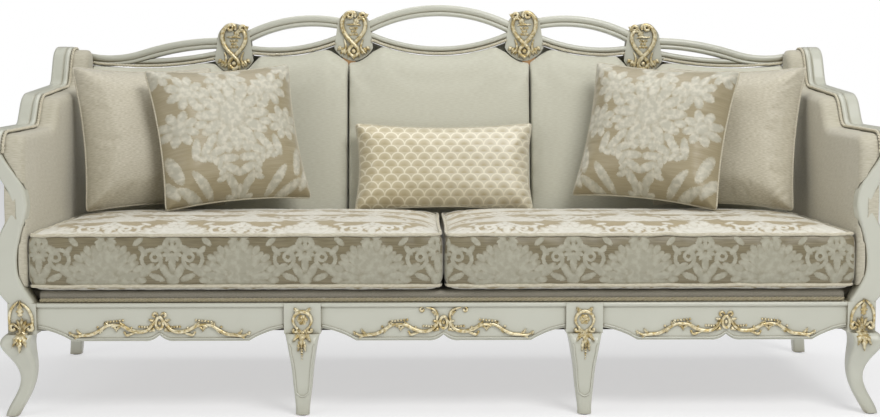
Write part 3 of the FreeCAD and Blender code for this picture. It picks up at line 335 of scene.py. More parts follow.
@dataclass(frozen=True)
class Plain(Finish):
    """A hard part in one colour with a fine tooled grain, such as steel wire or nylon."""

    colour: str = "#8C8C8E"
    worn: str = "#6F6F72"
    metallic: float = 1.0
    roughness: float = 0.35
    grain_mm: float = 1.5

    def build(self) -> Material:
        """Makes the material.

        Returns:
            The material.
        """
        material, tree, shader = self.started()
        add = partial(add_node, tree)
        place = add("TexCoord").outputs["Object"]
        grain = add("TexNoise", {},
                    {"Vector": place, "Scale": 1.0 / (self.grain_mm * MM), "Detail": 3.0})
        colour = add("Mix", COLOURS,
                     {"Factor": grain.outputs["Fac"], MIX_A: linear(self.colour),
                      MIX_B: linear(self.worn)})
        self.surfaced(tree, shader, colour.outputs[MIX_COLOUR], grain.outputs["Fac"],
                      (0.15, 0.2), {"Metallic": self.metallic, "Roughness": self.roughness})
        return material


@dataclass(frozen=True)
class Cloth(Finish):
    """A woven upholstery cloth with slubs along the weft and a soft sheen.

    The threads are finer than the picture shows, so the slubs carry the weave: long thin
    streaks a few millimetres apart that catch the light.
    """

    colour: str = "#C9C8B9"
    shade: str = "#BDBBAA"
    slub_mm: float = 3.2
    slub_long: float = 22.0
    bump: float = 0.35
    roughness: float = 0.74
    sheen: float = 0.35

    def woven(self, tree: NodeTree) -> tuple[NodeSocket, NodeSocket]:
        """Adds the weave on the cloth's own UV map, whose units are metres.

        Args:
            tree: The material's node tree.

        Returns:
            The height of the slubs and the cloth's coordinates.
        """
        add = partial(add_node, tree)
        place = add("UVMap", {"uv_map": "cloth"}).outputs["UV"]
        along = add("Mapping", {}, {"Vector": place, "Scale": (1.0 / self.slub_long, 1.0, 1.0)})
        slubs = add("TexNoise", FLAT,
                    {"Vector": along.outputs["Vector"], "Scale": 1.0 / (self.slub_mm * MM),
                     "Detail": 3.0})
        return slubs.outputs["Fac"], place

    def dressed(self, tree: NodeTree, shader: Node,
                colour: NodeSocket, height: NodeSocket,
                roughness: NodeSocket | float) -> None:
        """Links a colour, a relief and a roughness to the shader and sets the sheen.

        Args:
            tree: The material's node tree.
            shader: Its shader.
            colour: The base colour.
            height: The relief's height.
            roughness: A value or a linked output.
        """
        self.surfaced(tree, shader, colour, height, (self.bump, 0.8),
                      {"Roughness": roughness, "Sheen Weight": self.sheen,
                       "Sheen Roughness": 0.4})

    @staticmethod
    def repeated(tree: NodeTree, parts: Node, half: float, high: float) -> NodeSocket:
        """Folds the cloth into one repeat that mirrors; each row shifts by half a repeat.

        Args:
            tree: The material's node tree.
            parts: The node that parts the cloth's coordinates.
            half: Half a repeat across.
            high: A row's height.

        Returns:
            The place within half a repeat.
        """
        add = partial(add_node, tree)
        row = add("Math", {"operation": "DIVIDE"}, {0: parts.outputs["Y"], 1: high})
        whole = add("Math", {"operation": "FLOOR"}, {0: row.outputs[0]})
        slid = add("Math", {"operation": "MULTIPLY_ADD"},
                   {0: whole.outputs[0], 1: half, 2: parts.outputs["X"]})
        across = add("Math", {"operation": "PINGPONG"}, {0: slid.outputs[0], 1: half})
        up = add("Math", {"operation": "FLOORED_MODULO"}, {0: parts.outputs["Y"], 1: high})
        return add("CombineXYZ", {}, {0: across.outputs[0], 1: up.outputs[0]}).outputs[0]

    def build(self) -> Material:
        """Makes the material.

        Returns:
            The material.
        """
        material, tree, shader = self.started()
        add = partial(add_node, tree)
        slubs, _ = self.woven(tree)
        streaks = add("MapRange", {}, {"Value": slubs, "From Min": 0.36, "From Max": 0.64})
        colour = add("Mix", COLOURS,
                     {"Factor": streaks.outputs["Result"], MIX_A: linear(self.colour),
                      MIX_B: linear(self.shade)})
        self.dressed(tree, shader, colour.outputs[MIX_COLOUR], slubs, self.roughness)
        return material


class Motif(Enum):
    """The damask patterns."""

    PALMETTE = "seat cushions"
    BOUQUET = "pillows"


@dataclass(frozen=True)
class Petal:
    """One woven petal or leaf of a damask motif: an ellipse, in millimetres and degrees."""

    across: float
    up: float
    half_long: float
    half_wide: float
    turn: float = 0.0


@dataclass(frozen=True)
class Ring:
    """A ring of woven petals round a point, in millimetres and degrees.

    With a count of 0 it is a plain hoop, half_wide to each side of its line.
    """

    across: float
    up: float
    count: int
    reach: float
    half_long: float
    half_wide: float
    turn: float = 0.0


def seat_motif(half_repeat: float) -> list[Petal | Ring]:
    """Half a repeat of the seat's damask: a palmette, a scroll and half a floral spray.

    Args:
        half_repeat: Half the repeat's width, in millimetres.

    Returns:
        Its petals and rings.
    """
    eye = half_repeat - 54.0
    middle = half_repeat
    return [Ring(0.0, 14.0, 18, 62.0, 34.0, 11.5), Ring(0.0, 14.0, 18, 90.0, 14.0, 9.0, 10.0),
            Petal(0.0, 60.0, 38.0, 44.0), Petal(0.0, 16.0, 20.0, 40.0),
            Ring(0.0, 122.0, 10, 17.0, 12.0, 5.5), Petal(84.0, 116.0, 15.0, 7.0, -50.0),
            Ring(eye, 70.0, 0, 25.0, 0.0, 5.0), Ring(eye + 9.0, 76.0, 0, 10.0, 0.0, 4.0),
            Petal(eye - 14.0, 40.0, 26.0, 11.0, -50.0), Petal(eye + 18.0, 94.0, 20.0, 9.0, -60.0),
            Petal(eye - 22.0, 92.0, 15.0, 7.0, 40.0), Petal(middle, 126.0, 17.0, 8.0),
            Petal(middle - 16.0, 114.0, 18.0, 7.0, -24.0), Ring(middle, 88.0, 10, 16.0, 11.0, 5.5),
            Petal(middle, 60.0, 26.0, 9.0), Petal(middle - 18.0, 38.0, 24.0, 10.0, 30.0),
            Petal(middle - 40.0, 22.0, 20.0, 8.0, 66.0), Petal(middle, 16.0, 16.0, 16.0)]


def bouquet_motif() -> list[Petal | Ring]:
    """Half of a pillow's damask: a bouquet over an ogee that two acanthus leaves frame.

    Returns:
        Its petals and rings.
    """
    flowers = ((128.0, 342.0, 1.0), (160.0, 232.0, 0.95), (196.0, 410.0, 0.8))
    leaf_across, leaf_up, outer, inner = 98.0, 92.0, 76.0, 46.0
    petals = [Petal(0.0, 268.0, 50.0, 46.0), Petal(0.0, 190.0, 30.0, 22.0),
              Ring(0.0, 264.0, 12, 72.0, 38.0, 16.0), Ring(0.0, 264.0, 12, 102.0, 18.0, 12.0, 15.0),
              Ring(0.0, 392.0, 10, 40.0, 26.0, 12.0)]
    for across, up, size in flowers:
        petals += [Petal(across, up, 24.0 * size, 24.0 * size),
                   Ring(across, up, 8, 36.0 * size, 20.0 * size, 12.5 * size, 20.0)]
    for angle in (200.0, 174.0, 148.0, 122.0, 96.0, 70.0):
        bent = math.radians(angle)
        for reach, half_long, half_wide, turn in ((outer, 31.0, 12.0, -58.0),
                                                  (inner, 17.0, 8.0, 46.0)):
            petals.append(Petal(leaf_across + reach * math.cos(bent),
                                leaf_up + reach * math.sin(bent), half_long, half_wide,
                                angle + turn))
    petals += [Petal(112.0, 62.0, 46.0, 13.0, -38.0), Petal(150.0, 34.0, 44.0, 13.0, -60.0),
               Petal(186.0, 112.0, 42.0, 14.0, -16.0), Petal(204.0, 58.0, 34.0, 13.0, -30.0),
               Ring(0.0, 16.0, 10, 26.0, 16.0, 7.5)]
    return petals


@dataclass(frozen=True)
class Damask(Cloth):
    """A jacquard damask: a satin ground with raised motifs in a paler, duller weave.

    Motifs mirror about their middles, and each row shifts by half a repeat. Thin veins of
    the ground part the petals, and the glints are painted reflections: random patches of
    the motif painted brighter, as light glancing off the satin. The threads are drawn as
    coarse as the edge's fraying, because the real ones are too fine to show.
    """

    motif: Motif = Motif.PALMETTE
    figure: str = "#BDBBAA"
    # Colour of the painted glints, reflections of light on the satin
    glint: str = "#D8D3BF"
    repeat_mm: float = 346.0
    row_mm: float = 150.0
    glint_share: float = 0.0
    spread: float = 1.0
    fray_mm: float = 1.6
    vein: float = 0.4

    @staticmethod
    def petal(tree: NodeTree, spot: NodeSocket, petal: Petal) -> NodeSocket:
        """Adds one petal.

        Args:
            tree: The material's node tree.
            spot: The place within half a repeat, in millimetres.
            petal: The petal.

        Returns:
            A socket that is 0 at the petal's middle and 1 at its edge.
        """
        add = partial(add_node, tree)
        turned = add("Mapping", {"vector_type": "TEXTURE"},
                     {"Vector": spot, "Location": (petal.across, petal.up, 0.0),
                      "Rotation": (0.0, 0.0, math.radians(petal.turn)),
                      "Scale": (petal.half_wide, petal.half_long, 1.0)})
        return add("VectorMath", {"operation": "LENGTH"}, {0: turned.outputs[0]}).outputs["Value"]

    def ring(self, tree: NodeTree, spot: NodeSocket, ring: Ring) -> NodeSocket:
        """Adds a ring of petals, or a hoop.

        Args:
            tree: The material's node tree.
            spot: The place within half a repeat, in millimetres.
            ring: The ring.

        Returns:
            A socket that is 0 at the petals' middles and 1 at their edges.
        """
        add = partial(add_node, tree)
        local = add("Mapping", {"vector_type": "TEXTURE"},
                    {"Vector": spot, "Location": (ring.across, ring.up, 0.0),
                     "Rotation": (0.0, 0.0, math.radians(ring.turn))}).outputs[0]
        reach = add("VectorMath", {"operation": "LENGTH"}, {0: local}).outputs["Value"]
        if ring.count == 0:
            off = add("Math", {"operation": "SUBTRACT"}, {0: reach, 1: ring.reach}).outputs[0]
            far = add("Math", {"operation": "ABSOLUTE"}, {0: off}).outputs[0]
            return add("Math", {"operation": "DIVIDE"}, {0: far, 1: ring.half_wide}).outputs[0]
        parts = add("SeparateXYZ", {}, {0: local})
        angle = add("Math", {"operation": "ARCTAN2"},
                    {0: parts.outputs["X"], 1: parts.outputs["Y"]}).outputs[0]
        folded = add("Math", {"operation": "PINGPONG"},
                     {0: angle, 1: math.pi / ring.count}).outputs[0]
        sides = []
        for kind in ("SINE", "COSINE"):
            share = add("Math", {"operation": kind}, {0: folded}).outputs[0]
            sides.append(add("Math", {"operation": "MULTIPLY"}, {0: share, 1: reach}).outputs[0])
        place = add("CombineXYZ", {}, {0: sides[0], 1: sides[1]}).outputs[0]
        return self.petal(tree, place, Petal(0.0, ring.reach, ring.half_long, ring.half_wide))

    def mask(self, tree: NodeTree, place: NodeSocket) -> NodeSocket:
        """Adds the motif.

        Args:
            tree: The material's node tree.
            place: The cloth's coordinates in metres.

        Returns:
            A socket under 1 inside the motif's petals, 0 at their middles.
        """
        add = partial(add_node, tree)
        half = self.repeat_mm / 2.0
        petals = seat_motif(half) if self.motif is Motif.PALMETTE else bouquet_motif()
        fray = add("TexNoise", FLAT, {"Vector": place, "Scale": 260.0, "Detail": 4.0})
        shaken = add("VectorMath", {"operation": "MULTIPLY_ADD"},
                     {0: fray.outputs["Color"], 1: (2.0 * self.fray_mm,) * 3})
        in_mm = add("VectorMath", {"operation": "SCALE"}, {0: place, "Scale": 1000.0})
        tree.links.new(in_mm.outputs["Vector"], shaken.inputs[2])
        parts = add("SeparateXYZ", {}, {0: shaken.outputs["Vector"]})
        spot = self.repeated(tree, parts, half, self.row_mm)
        nearest = None
        for petal in petals:
            off = self.ring(tree, spot, petal) if isinstance(petal, Ring) else self.petal(
                tree, spot, petal)
            if nearest is None:
                nearest = off
            else:
                nearest = add("Math", {"operation": "MINIMUM"}, {0: nearest, 1: off}).outputs[0]
        return nearest

    def build(self) -> Material:
        """Makes the material.

        Returns:
            The material.
        """
        material, tree, shader = self.started()
        add = partial(add_node, tree)
        slubs, place = self.woven(tree)
        nearest = self.mask(tree, place)
        figure = add("MapRange", SMOOTH,
                     {"Value": nearest, "From Min": 0.9 * self.spread,
                      "From Max": 1.08 * self.spread, "To Min": 1.0,
                      "To Max": 0.0}).outputs["Result"]
        vein = add("MapRange", SMOOTH,
                   {"Value": nearest, "From Min": 0.66, "From Max": 0.98, "To Min": 0.0,
                    "To Max": self.vein}).outputs["Result"]
        petals = add("Mix", COLOURS,
                     {"Factor": vein, MIX_A: linear(self.figure), MIX_B: linear(self.colour)})
        # Painted reflection: random patches of the motif painted brighter, as glints of light on
        # the satin
        patches = add("TexNoise", FLAT, {"Vector": place, "Scale": 60.0, "Detail": 4.0})
        bright = add("MapRange", {},
                     {"Value": patches.outputs["Fac"], "From Min": 0.42, "From Max": 0.66,
                      "To Min": 0.0, "To Max": self.glint_share})
        lit = add("Mix", COLOURS,
                  {"Factor": bright.outputs["Result"], MIX_A: petals.outputs[MIX_COLOUR],
                   MIX_B: linear(self.glint)})
        streaks = add("MapRange", {}, {"Value": slubs, "From Min": 0.35, "From Max": 0.65})
        ground = add("Mix", COLOURS,
                     {"Factor": streaks.outputs["Result"], MIX_A: linear(self.colour),
                      MIX_B: linear(self.shade)})
        colour = add("Mix", COLOURS,
                     {"Factor": figure, MIX_A: ground.outputs[MIX_COLOUR],
                      MIX_B: lit.outputs[MIX_COLOUR]})
        relief = add("Math", {"operation": "MULTIPLY_ADD"}, {0: slubs, 1: 0.35, 2: figure})
        rough = add("MapRange", {}, {"Value": figure, "To Min": 0.42, "To Max": 0.66})
        self.dressed(tree, shader, colour.outputs[MIX_COLOUR], relief.outputs[0],
                     rough.outputs["Result"])
        return material


@dataclass(frozen=True)
class ScaleSatin(Cloth):
    """A satin woven with rows of scales: pale arcs over a champagne ground, with a bright face;
    a painted highlight brightens it towards +X.
    """

    line: str = "#E3DCC6"
    # Colour of the painted highlight towards +X
    silver: str = "#DDD9CA"
    deep: str = "#B3A684"
    wide_mm: float = 40.0
    row_mm: float = 22.0

    def build(self) -> Material:
        """Makes the material.

        Returns:
            The material.
        """
        material, tree, shader = self.started()
        add = partial(add_node, tree)
        slubs, place = self.woven(tree)
        parts = add("SeparateXYZ", {}, {0: place})
        radius = self.wide_mm * MM / 2.0
        spot = self.repeated(tree, parts, radius, self.row_mm * MM)
        reach = add("VectorMath", {"operation": "LENGTH"}, {0: spot}).outputs["Value"]
        off = add("Math", {"operation": "SUBTRACT"}, {0: reach, 1: radius}).outputs[0]
        gap = add("Math", {"operation": "ABSOLUTE"}, {0: off}).outputs[0]
        arc = add("MapRange", SMOOTH,
                  {"Value": gap, "From Min": 1.2 * MM, "From Max": 2.6 * MM, "To Min": 1.0,
                   "To Max": 0.0}).outputs["Result"]
        face = add("MapRange", {},
                   {"Value": reach, "From Min": 4.0 * MM, "From Max": 18.0 * MM,
                    "To Min": 0.1, "To Max": 0.75}).outputs["Result"]
        # Painted highlight: the satin is painted brighter towards +X, where the light falls on it
        sheen = add("MapRange", SMOOTH,
                    {"Value": parts.outputs["X"], "From Min": -0.22, "From Max": 0.2,
                     "To Min": 0.0, "To Max": 0.85}).outputs["Result"]
        satin = add("Mix", COLOURS,
                    {"Factor": sheen, MIX_A: linear(self.colour), MIX_B: linear(self.silver)})
        ground = add("Mix", COLOURS,
                     {"Factor": face, MIX_A: linear(self.deep),
                      MIX_B: satin.outputs[MIX_COLOUR]})
        colour = add("Mix", COLOURS,
                     {"Factor": arc, MIX_A: ground.outputs[MIX_COLOUR],
                      MIX_B: linear(self.line)})
        height = add("Math", {"operation": "MULTIPLY_ADD"}, {0: slubs, 1: 0.3, 2: arc})
        self.dressed(tree, shader, colour.outputs[MIX_COLOUR], height.outputs[0], self.roughness)
        return material


# Making pieces

CAD_SEAM = 1e-5           # how close the points of a seam lie, in metres
CARVED_SEAM = 2e-5
CARVED_EDGE = 60.0        # sharpest edge that is shaded smooth on a carving, in degrees
STEPS_IN_TURN = 8         # points of a strand in one full turn of its cord
STRAND_SHARE = {2: 0.56, 3: 0.5}     # a strand's radius for each number of strands
LEAST_NEAR = 12           # points of a tube's skin that a place of its middle line needs
LONGEST_LINE = 4000       # points that a traced line never reaches
FAR_IN_FRONT = -2.0       # Y that the surfaces are felt from


def select_only(piece: Object) -> None:
    """Makes one object the only selected and active one.

    Args:
        piece: The object.
    """
    bpy.ops.object.select_all(action="DESELECT")
    piece.select_set(True)
    bpy.context.view_layer.objects.active = piece


def merged(piece: Object, apart: float, outward: bool = False) -> None:
    """Joins a mesh's points that lie closer than a distance.

    Args:
        piece: The mesh object.
        apart: The distance, in metres.
        outward: Whether its faces are turned to look outwards too.
    """
    select_only(piece)
    bpy.ops.object.mode_set(mode="EDIT")
    bpy.ops.mesh.select_all(action="SELECT")
    bpy.ops.mesh.remove_doubles(threshold=apart)
    if outward:
        bpy.ops.mesh.normals_make_consistent(inside=False)
    bpy.ops.object.mode_set(mode="OBJECT")


def added(name: str, points: list, faces: list) -> Object:
    """Makes a mesh object out of points and faces.

    Args:
        name: The object's name.
        points: Its points, in metres.
        faces: The numbers of each face's points.

    Returns:
        The object.
    """
    mesh = bpy.data.meshes.new(name)
    mesh.from_pydata([tuple(point) for point in points], [], faces)
    mesh.update()
    piece = bpy.data.objects.new(name, mesh)
    bpy.context.scene.collection.objects.link(piece)
    return piece


def modified(piece: Object, kind: str, settings: dict) -> None:
    """Adds a modifier with its settings and applies it.

    Args:
        piece: The object.
        kind: The modifier's type, such as "SUBSURF".
        settings: The modifier's own properties.
    """
    select_only(piece)
    modifier = piece.modifiers.new(kind.title(), kind)
    for name, value in settings.items():
        setattr(modifier, name, value)
    bpy.ops.object.modifier_apply(modifier=modifier.name)


def copied(node: Object, name: str) -> Object:
    """Copies a CAD node's mesh into a new object and closes its loose triangles.

    Args:
        node: The CAD node.
        name: The new object's name.

    Returns:
        The new object.
    """
    piece = bpy.data.objects.new(name, node.data.copy())
    piece.data.materials.clear()
    bpy.context.scene.collection.objects.link(piece)
    merged(piece, CAD_SEAM)
    return piece


def remeshed(piece: Object, voxel: float) -> None:
    """Turns a piece into an even net of small quads.

    Args:
        piece: The piece.
        voxel: A quad's size, in metres.
    """
    select_only(piece)
    piece.data.remesh_voxel_size = voxel
    bpy.ops.object.voxel_remesh()


def rounded(piece: Object, degrees: float = 35.0) -> None:
    """Shades a piece smooth, apart from its sharp edges."""
    select_only(piece)
    bpy.ops.object.shade_smooth_by_angle(angle=math.radians(degrees))


def dressed(piece: Object, materials: list, body: Body,
            replaced: tuple[str, ...] = ()) -> Object:
    """Gives a finished piece its materials and body, and reports it.

    Args:
        piece: The finished piece.
        materials: Its materials, the first for every face that has no other.
        body: The body that it rides on.
        replaced: The CAD nodes that it stands for.

    Returns:
        The piece.
    """
    for material in materials:
        piece.data.materials.append(material)
    if replaced:
        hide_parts(*replaced)
    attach(piece, body.value)
    LOG.info("%s: %d faces", piece.name, len(piece.data.polygons))
    return piece


def simulated(piece: Object, pressure: float, cap: float, swell: float,
              pinned: list[int], frames: int = 20) -> None:
    """Blows a closed cloth up a little, so that it crowns and creases as a filled one does.

    Args:
        piece: The closed mesh.
        pressure: Air pressure inside.
        cap: The most that a point may move, in metres.
        swell: How much larger the cloth is cut than the shape, as a share.
        pinned: Points that stay where they are, such as a seam's.
        frames: How many frames to run.
    """
    start = [vertex.co.copy() for vertex in piece.data.vertices]
    group = piece.vertex_groups.new(name="seam")
    group.add(pinned, 1.0, "REPLACE")
    cloth = piece.modifiers.new("Cloth", "CLOTH")
    rules = cloth.settings
    rules.quality = 5
    rules.mass = 0.3
    rules.tension_stiffness = 12.0
    rules.compression_stiffness = 12.0
    rules.shear_stiffness = 4.0
    rules.bending_stiffness = 0.4
    rules.shrink_min = -swell
    rules.use_pressure = True
    rules.uniform_pressure_force = pressure
    rules.effector_weights.gravity = 0.0
    rules.vertex_group_mass = group.name
    cloth.point_cache.frame_start = 1
    cloth.point_cache.frame_end = frames
    for frame in range(1, frames + 1):
        bpy.context.scene.frame_set(frame)
    graph = bpy.context.evaluated_depsgraph_get()
    shown = piece.evaluated_get(graph)
    ended = [vertex.co.copy() for vertex in shown.data.vertices]
    piece.modifiers.remove(cloth)
    piece.vertex_groups.clear()
    bpy.context.scene.frame_set(1)
    for vertex, before, after in zip(piece.data.vertices, start, ended):
        move = after - before
        if move.length > cap:
            move = move * (cap / move.length)
        vertex.co = before + move
    piece.data.update()


def laid_cloth(piece: Object, rule: Callable[[Vector, Vector], tuple[float, float]]) -> None:
    """Writes the cloth's own coordinates, in metres.

    Args:
        piece: The finished mesh.
        rule: Gives (along, up) for a point and the normal of its face.
    """
    layer = piece.data.uv_layers.new(name="cloth")
    points = piece.data.vertices
    for face in piece.data.polygons:
        for loop in face.loop_indices:
            point = points[piece.data.loops[loop].vertex_index].co
            layer.data[loop].uv = rule(point, face.normal)


@dataclass
class Stroke:
    """A tapered stroke: its control points, its radius at each and its material's place."""

    points: list[Vector]
    radii: list[float]
    closed: bool = False
    paint: int = 0


def swept(name: str, strokes: list[Stroke], detail: int = 2, order: int = 3,
          steps: int = 4) -> Object:
    """Sweeps round strokes into one mesh.

    Args:
        name: The piece's name.
        strokes: The strokes.
        detail: Roundness of the section.
        order: Order of the splines.
        steps: Steps along a stroke from one control point to the next.

    Returns:
        The mesh object.
    """
    curve = bpy.data.curves.new(name, "CURVE")
    curve.dimensions = "3D"
    curve.bevel_depth = 1.0
    curve.bevel_resolution = detail
    curve.resolution_u = steps
    curve.use_fill_caps = True
    for stroke in strokes:
        spline = curve.splines.new("NURBS")
        spline.points.add(len(stroke.points) - 1)
        for knot, point, radius in zip(spline.points, stroke.points, stroke.radii):
            knot.co = (*point, 1.0)
            knot.radius = radius
        spline.use_cyclic_u = stroke.closed
        spline.order_u = order
        spline.use_endpoint_u = not stroke.closed
        spline.material_index = stroke.paint
    piece = bpy.data.objects.new(name, curve)
    bpy.context.scene.collection.objects.link(piece)
    select_only(piece)
    bpy.ops.object.convert(target="MESH")
    bpy.ops.object.shade_smooth()
    return piece


def evenly(points: list[Vector], step: float, closed: bool = False) -> list[Vector]:
    """Points at an even distance along a path.

    Args:
        points: The path's points.
        step: The wanted distance.
        closed: Whether the path runs back to its start.

    Returns:
        The new points; a closed path doesn't repeat its first.
    """
    path = points + [points[0]] if closed else points
    lengths = [(b - a).length for a, b in zip(path, path[1:])]
    count = max(2, round(sum(lengths) / step))
    share = sum(lengths) / count
    result, at, travelled = [], 0, 0.0
    for index in range(count + (0 if closed else 1)):
        goal = index * share
        while at < len(lengths) - 1 and travelled + lengths[at] < goal:
            travelled += lengths[at]
            at += 1
        part = min(1.0, (goal - travelled) / max(lengths[at], 1e-9))
        result.append(path[at].lerp(path[at + 1], part))
    return result


def twisted(name: str, paths: list[list[Vector]], radius: float, strands: int, pitch: float,
            across: Vector) -> Object:
    """Cords of strands twisted round each other along open paths.

    Args:
        name: The piece's name.
        paths: The cords' middle lines.
        radius: A whole cord's radius.
        strands: How many strands it has; the first takes the second material.
        pitch: Length of one full turn.
        across: A direction that no path runs along.

    Returns:
        The mesh object.
    """
    thick = radius * STRAND_SHARE[strands]
    reach = radius - thick
    strokes = []
    for path in paths:
        steps = evenly(path, pitch / STEPS_IN_TURN)
        for strand in range(strands):
            points = []
            for index, point in enumerate(steps):
                ahead = steps[min(index + 1, len(steps) - 1)]
                along = (ahead - steps[max(index - 1, 0)]).normalized()
                side = along.cross(across).normalized()
                turn = 2.0 * math.pi * (index / STEPS_IN_TURN + strand / strands)
                points.append(point + reach * (math.cos(turn) * side
                                               + math.sin(turn) * side.cross(along)))
            strokes.append(Stroke(points, [thick] * len(points), False, int(strand == 0)))
    return swept(name, strokes, detail=1, steps=1)


def traced(points: list[Vector], axis: int, step: float, reach: float) -> list[Vector]:
    """Follows the middle line of a tube from its lowest end along an axis.

    Args:
        points: Points all over the tube's skin.
        axis: The axis that the line starts along.
        step: Distance from one point of the line to the next.
        reach: How far round a place its middle is felt.

    Returns:
        The line.
    """
    tree = KDTree(len(points))
    for index, point in enumerate(points):
        tree.insert(point, index)
    tree.balance()
    first = min(points, key=lambda point: point[axis])
    ring = [found[0] for found in tree.find_range(first, reach)]
    start = sum(ring, Vector()) / len(ring)
    heading = Vector([1.0 if k == axis else 0.0 for k in range(3)])
    line = [start]
    while len(line) < LONGEST_LINE:
        near = [found[0] for found in tree.find_range(line[-1] + heading * step, reach)]
        if len(near) < LEAST_NEAR:
            break
        middle = sum(near, Vector()) / len(near)
        move = middle - line[-1]
        if move.dot(heading) < 0.3 * step:
            break
        heading = move.normalized()
        line.append(middle)
    return line


@dataclass
class Relief:
    """A carved patch: a net of (across, up, height) that is closed by its own flat back."""

    net: list[list[tuple[float, float, float]]]
    ring: bool = False
    sunk: float = 0.001


class Ground:
    """The surface that carvings are laid on, felt from the front."""

    def __init__(self, nodes: dict, names: tuple[str, ...], fallback: float) -> None:
        """Gathers the surface.

        Args:
            nodes: The frame's CAD nodes.
            names: The nodes that make up the surface.
            fallback: Y of a point that has nothing behind it.
        """
        work = bmesh.new()
        for name in names:
            work.from_mesh(nodes[name].data)
        self.tree = BVHTree.FromBMesh(work)
        work.free()
        self.fallback = fallback

    def hit(self, across: float, up: float) -> Vector | None:
        """The surface's point at a place of the front view, if it has one there."""
        start = Vector((across, FAR_IN_FRONT, up))
        return self.tree.ray_cast(start, Vector((0.0, 1.0, 0.0)))[0]

    def depth(self, across: float, up: float) -> float:
        """Y of the surface at a place of the front view."""
        found = self.hit(across, up)
        return self.fallback if found is None else min(found.y, self.fallback)

    def put(self, across: float, up: float, height: float) -> Vector:
        """A point that stands a height in front of the surface."""
        return Vector((across, self.depth(across, up) - height, up))


def carved(name: str, reliefs: list[Relief], ground: Ground) -> Object:
    """Makes one mesh of closed relief patches on a ground.

    Args:
        name: The object's name.
        reliefs: The patches.
        ground: The surface that they lie on.

    Returns:
        The mesh object.
    """
    points, faces = [], []
    for relief in reliefs:
        rows, columns = len(relief.net), len(relief.net[0])
        base = len(points)
        for lift in (1.0, 0.0):
            for row in relief.net:
                for across, up, height in row:
                    points.append(ground.put(across, up, height if lift else -relief.sunk))
        under = rows * columns
        last = columns if relief.ring else columns - 1
        for i in range(rows - 1):
            for j in range(last):
                a, b = base + i * columns + j, base + i * columns + (j + 1) % columns
                c, d = b + columns, a + columns
                faces.append((a, b, c, d))
                faces.append((d + under, c + under, b + under, a + under))
        rim = [(base + j, base + (j + 1) % columns) for j in range(last)]
        rim += [(base + (rows - 1) * columns + (j + 1) % columns, base + (rows - 1) * columns + j)
                for j in range(last)]
        if not relief.ring:
            rim += [(base + (i + 1) * columns, base + i * columns) for i in range(rows - 1)]
            rim += [(base + i * columns + columns - 1, base + (i + 1) * columns + columns - 1)
                    for i in range(rows - 1)]
        faces += [(b, a, a + under, b + under) for a, b in rim]
    piece = added(name, points, faces)
    merged(piece, CARVED_SEAM, True)
    rounded(piece, CARVED_EDGE)
    return piece


# Carving

CARVED_FULLNESS = 1.32    # thickness of the strokes, leaves and ribs over their drawn one
CREST_FACE = 0.398        # Y of the foremost wood behind a carving
APRON_FACE = -0.424
LEG_FACE = -0.38
LEG_X = 0.3715            # middle of a middle leg
APRONS = tuple(f"front_apron_{word}" for word in ("left", "centre", "right"))
MIDDLE_LEGS = ("front_leg_left", "front_leg_right")


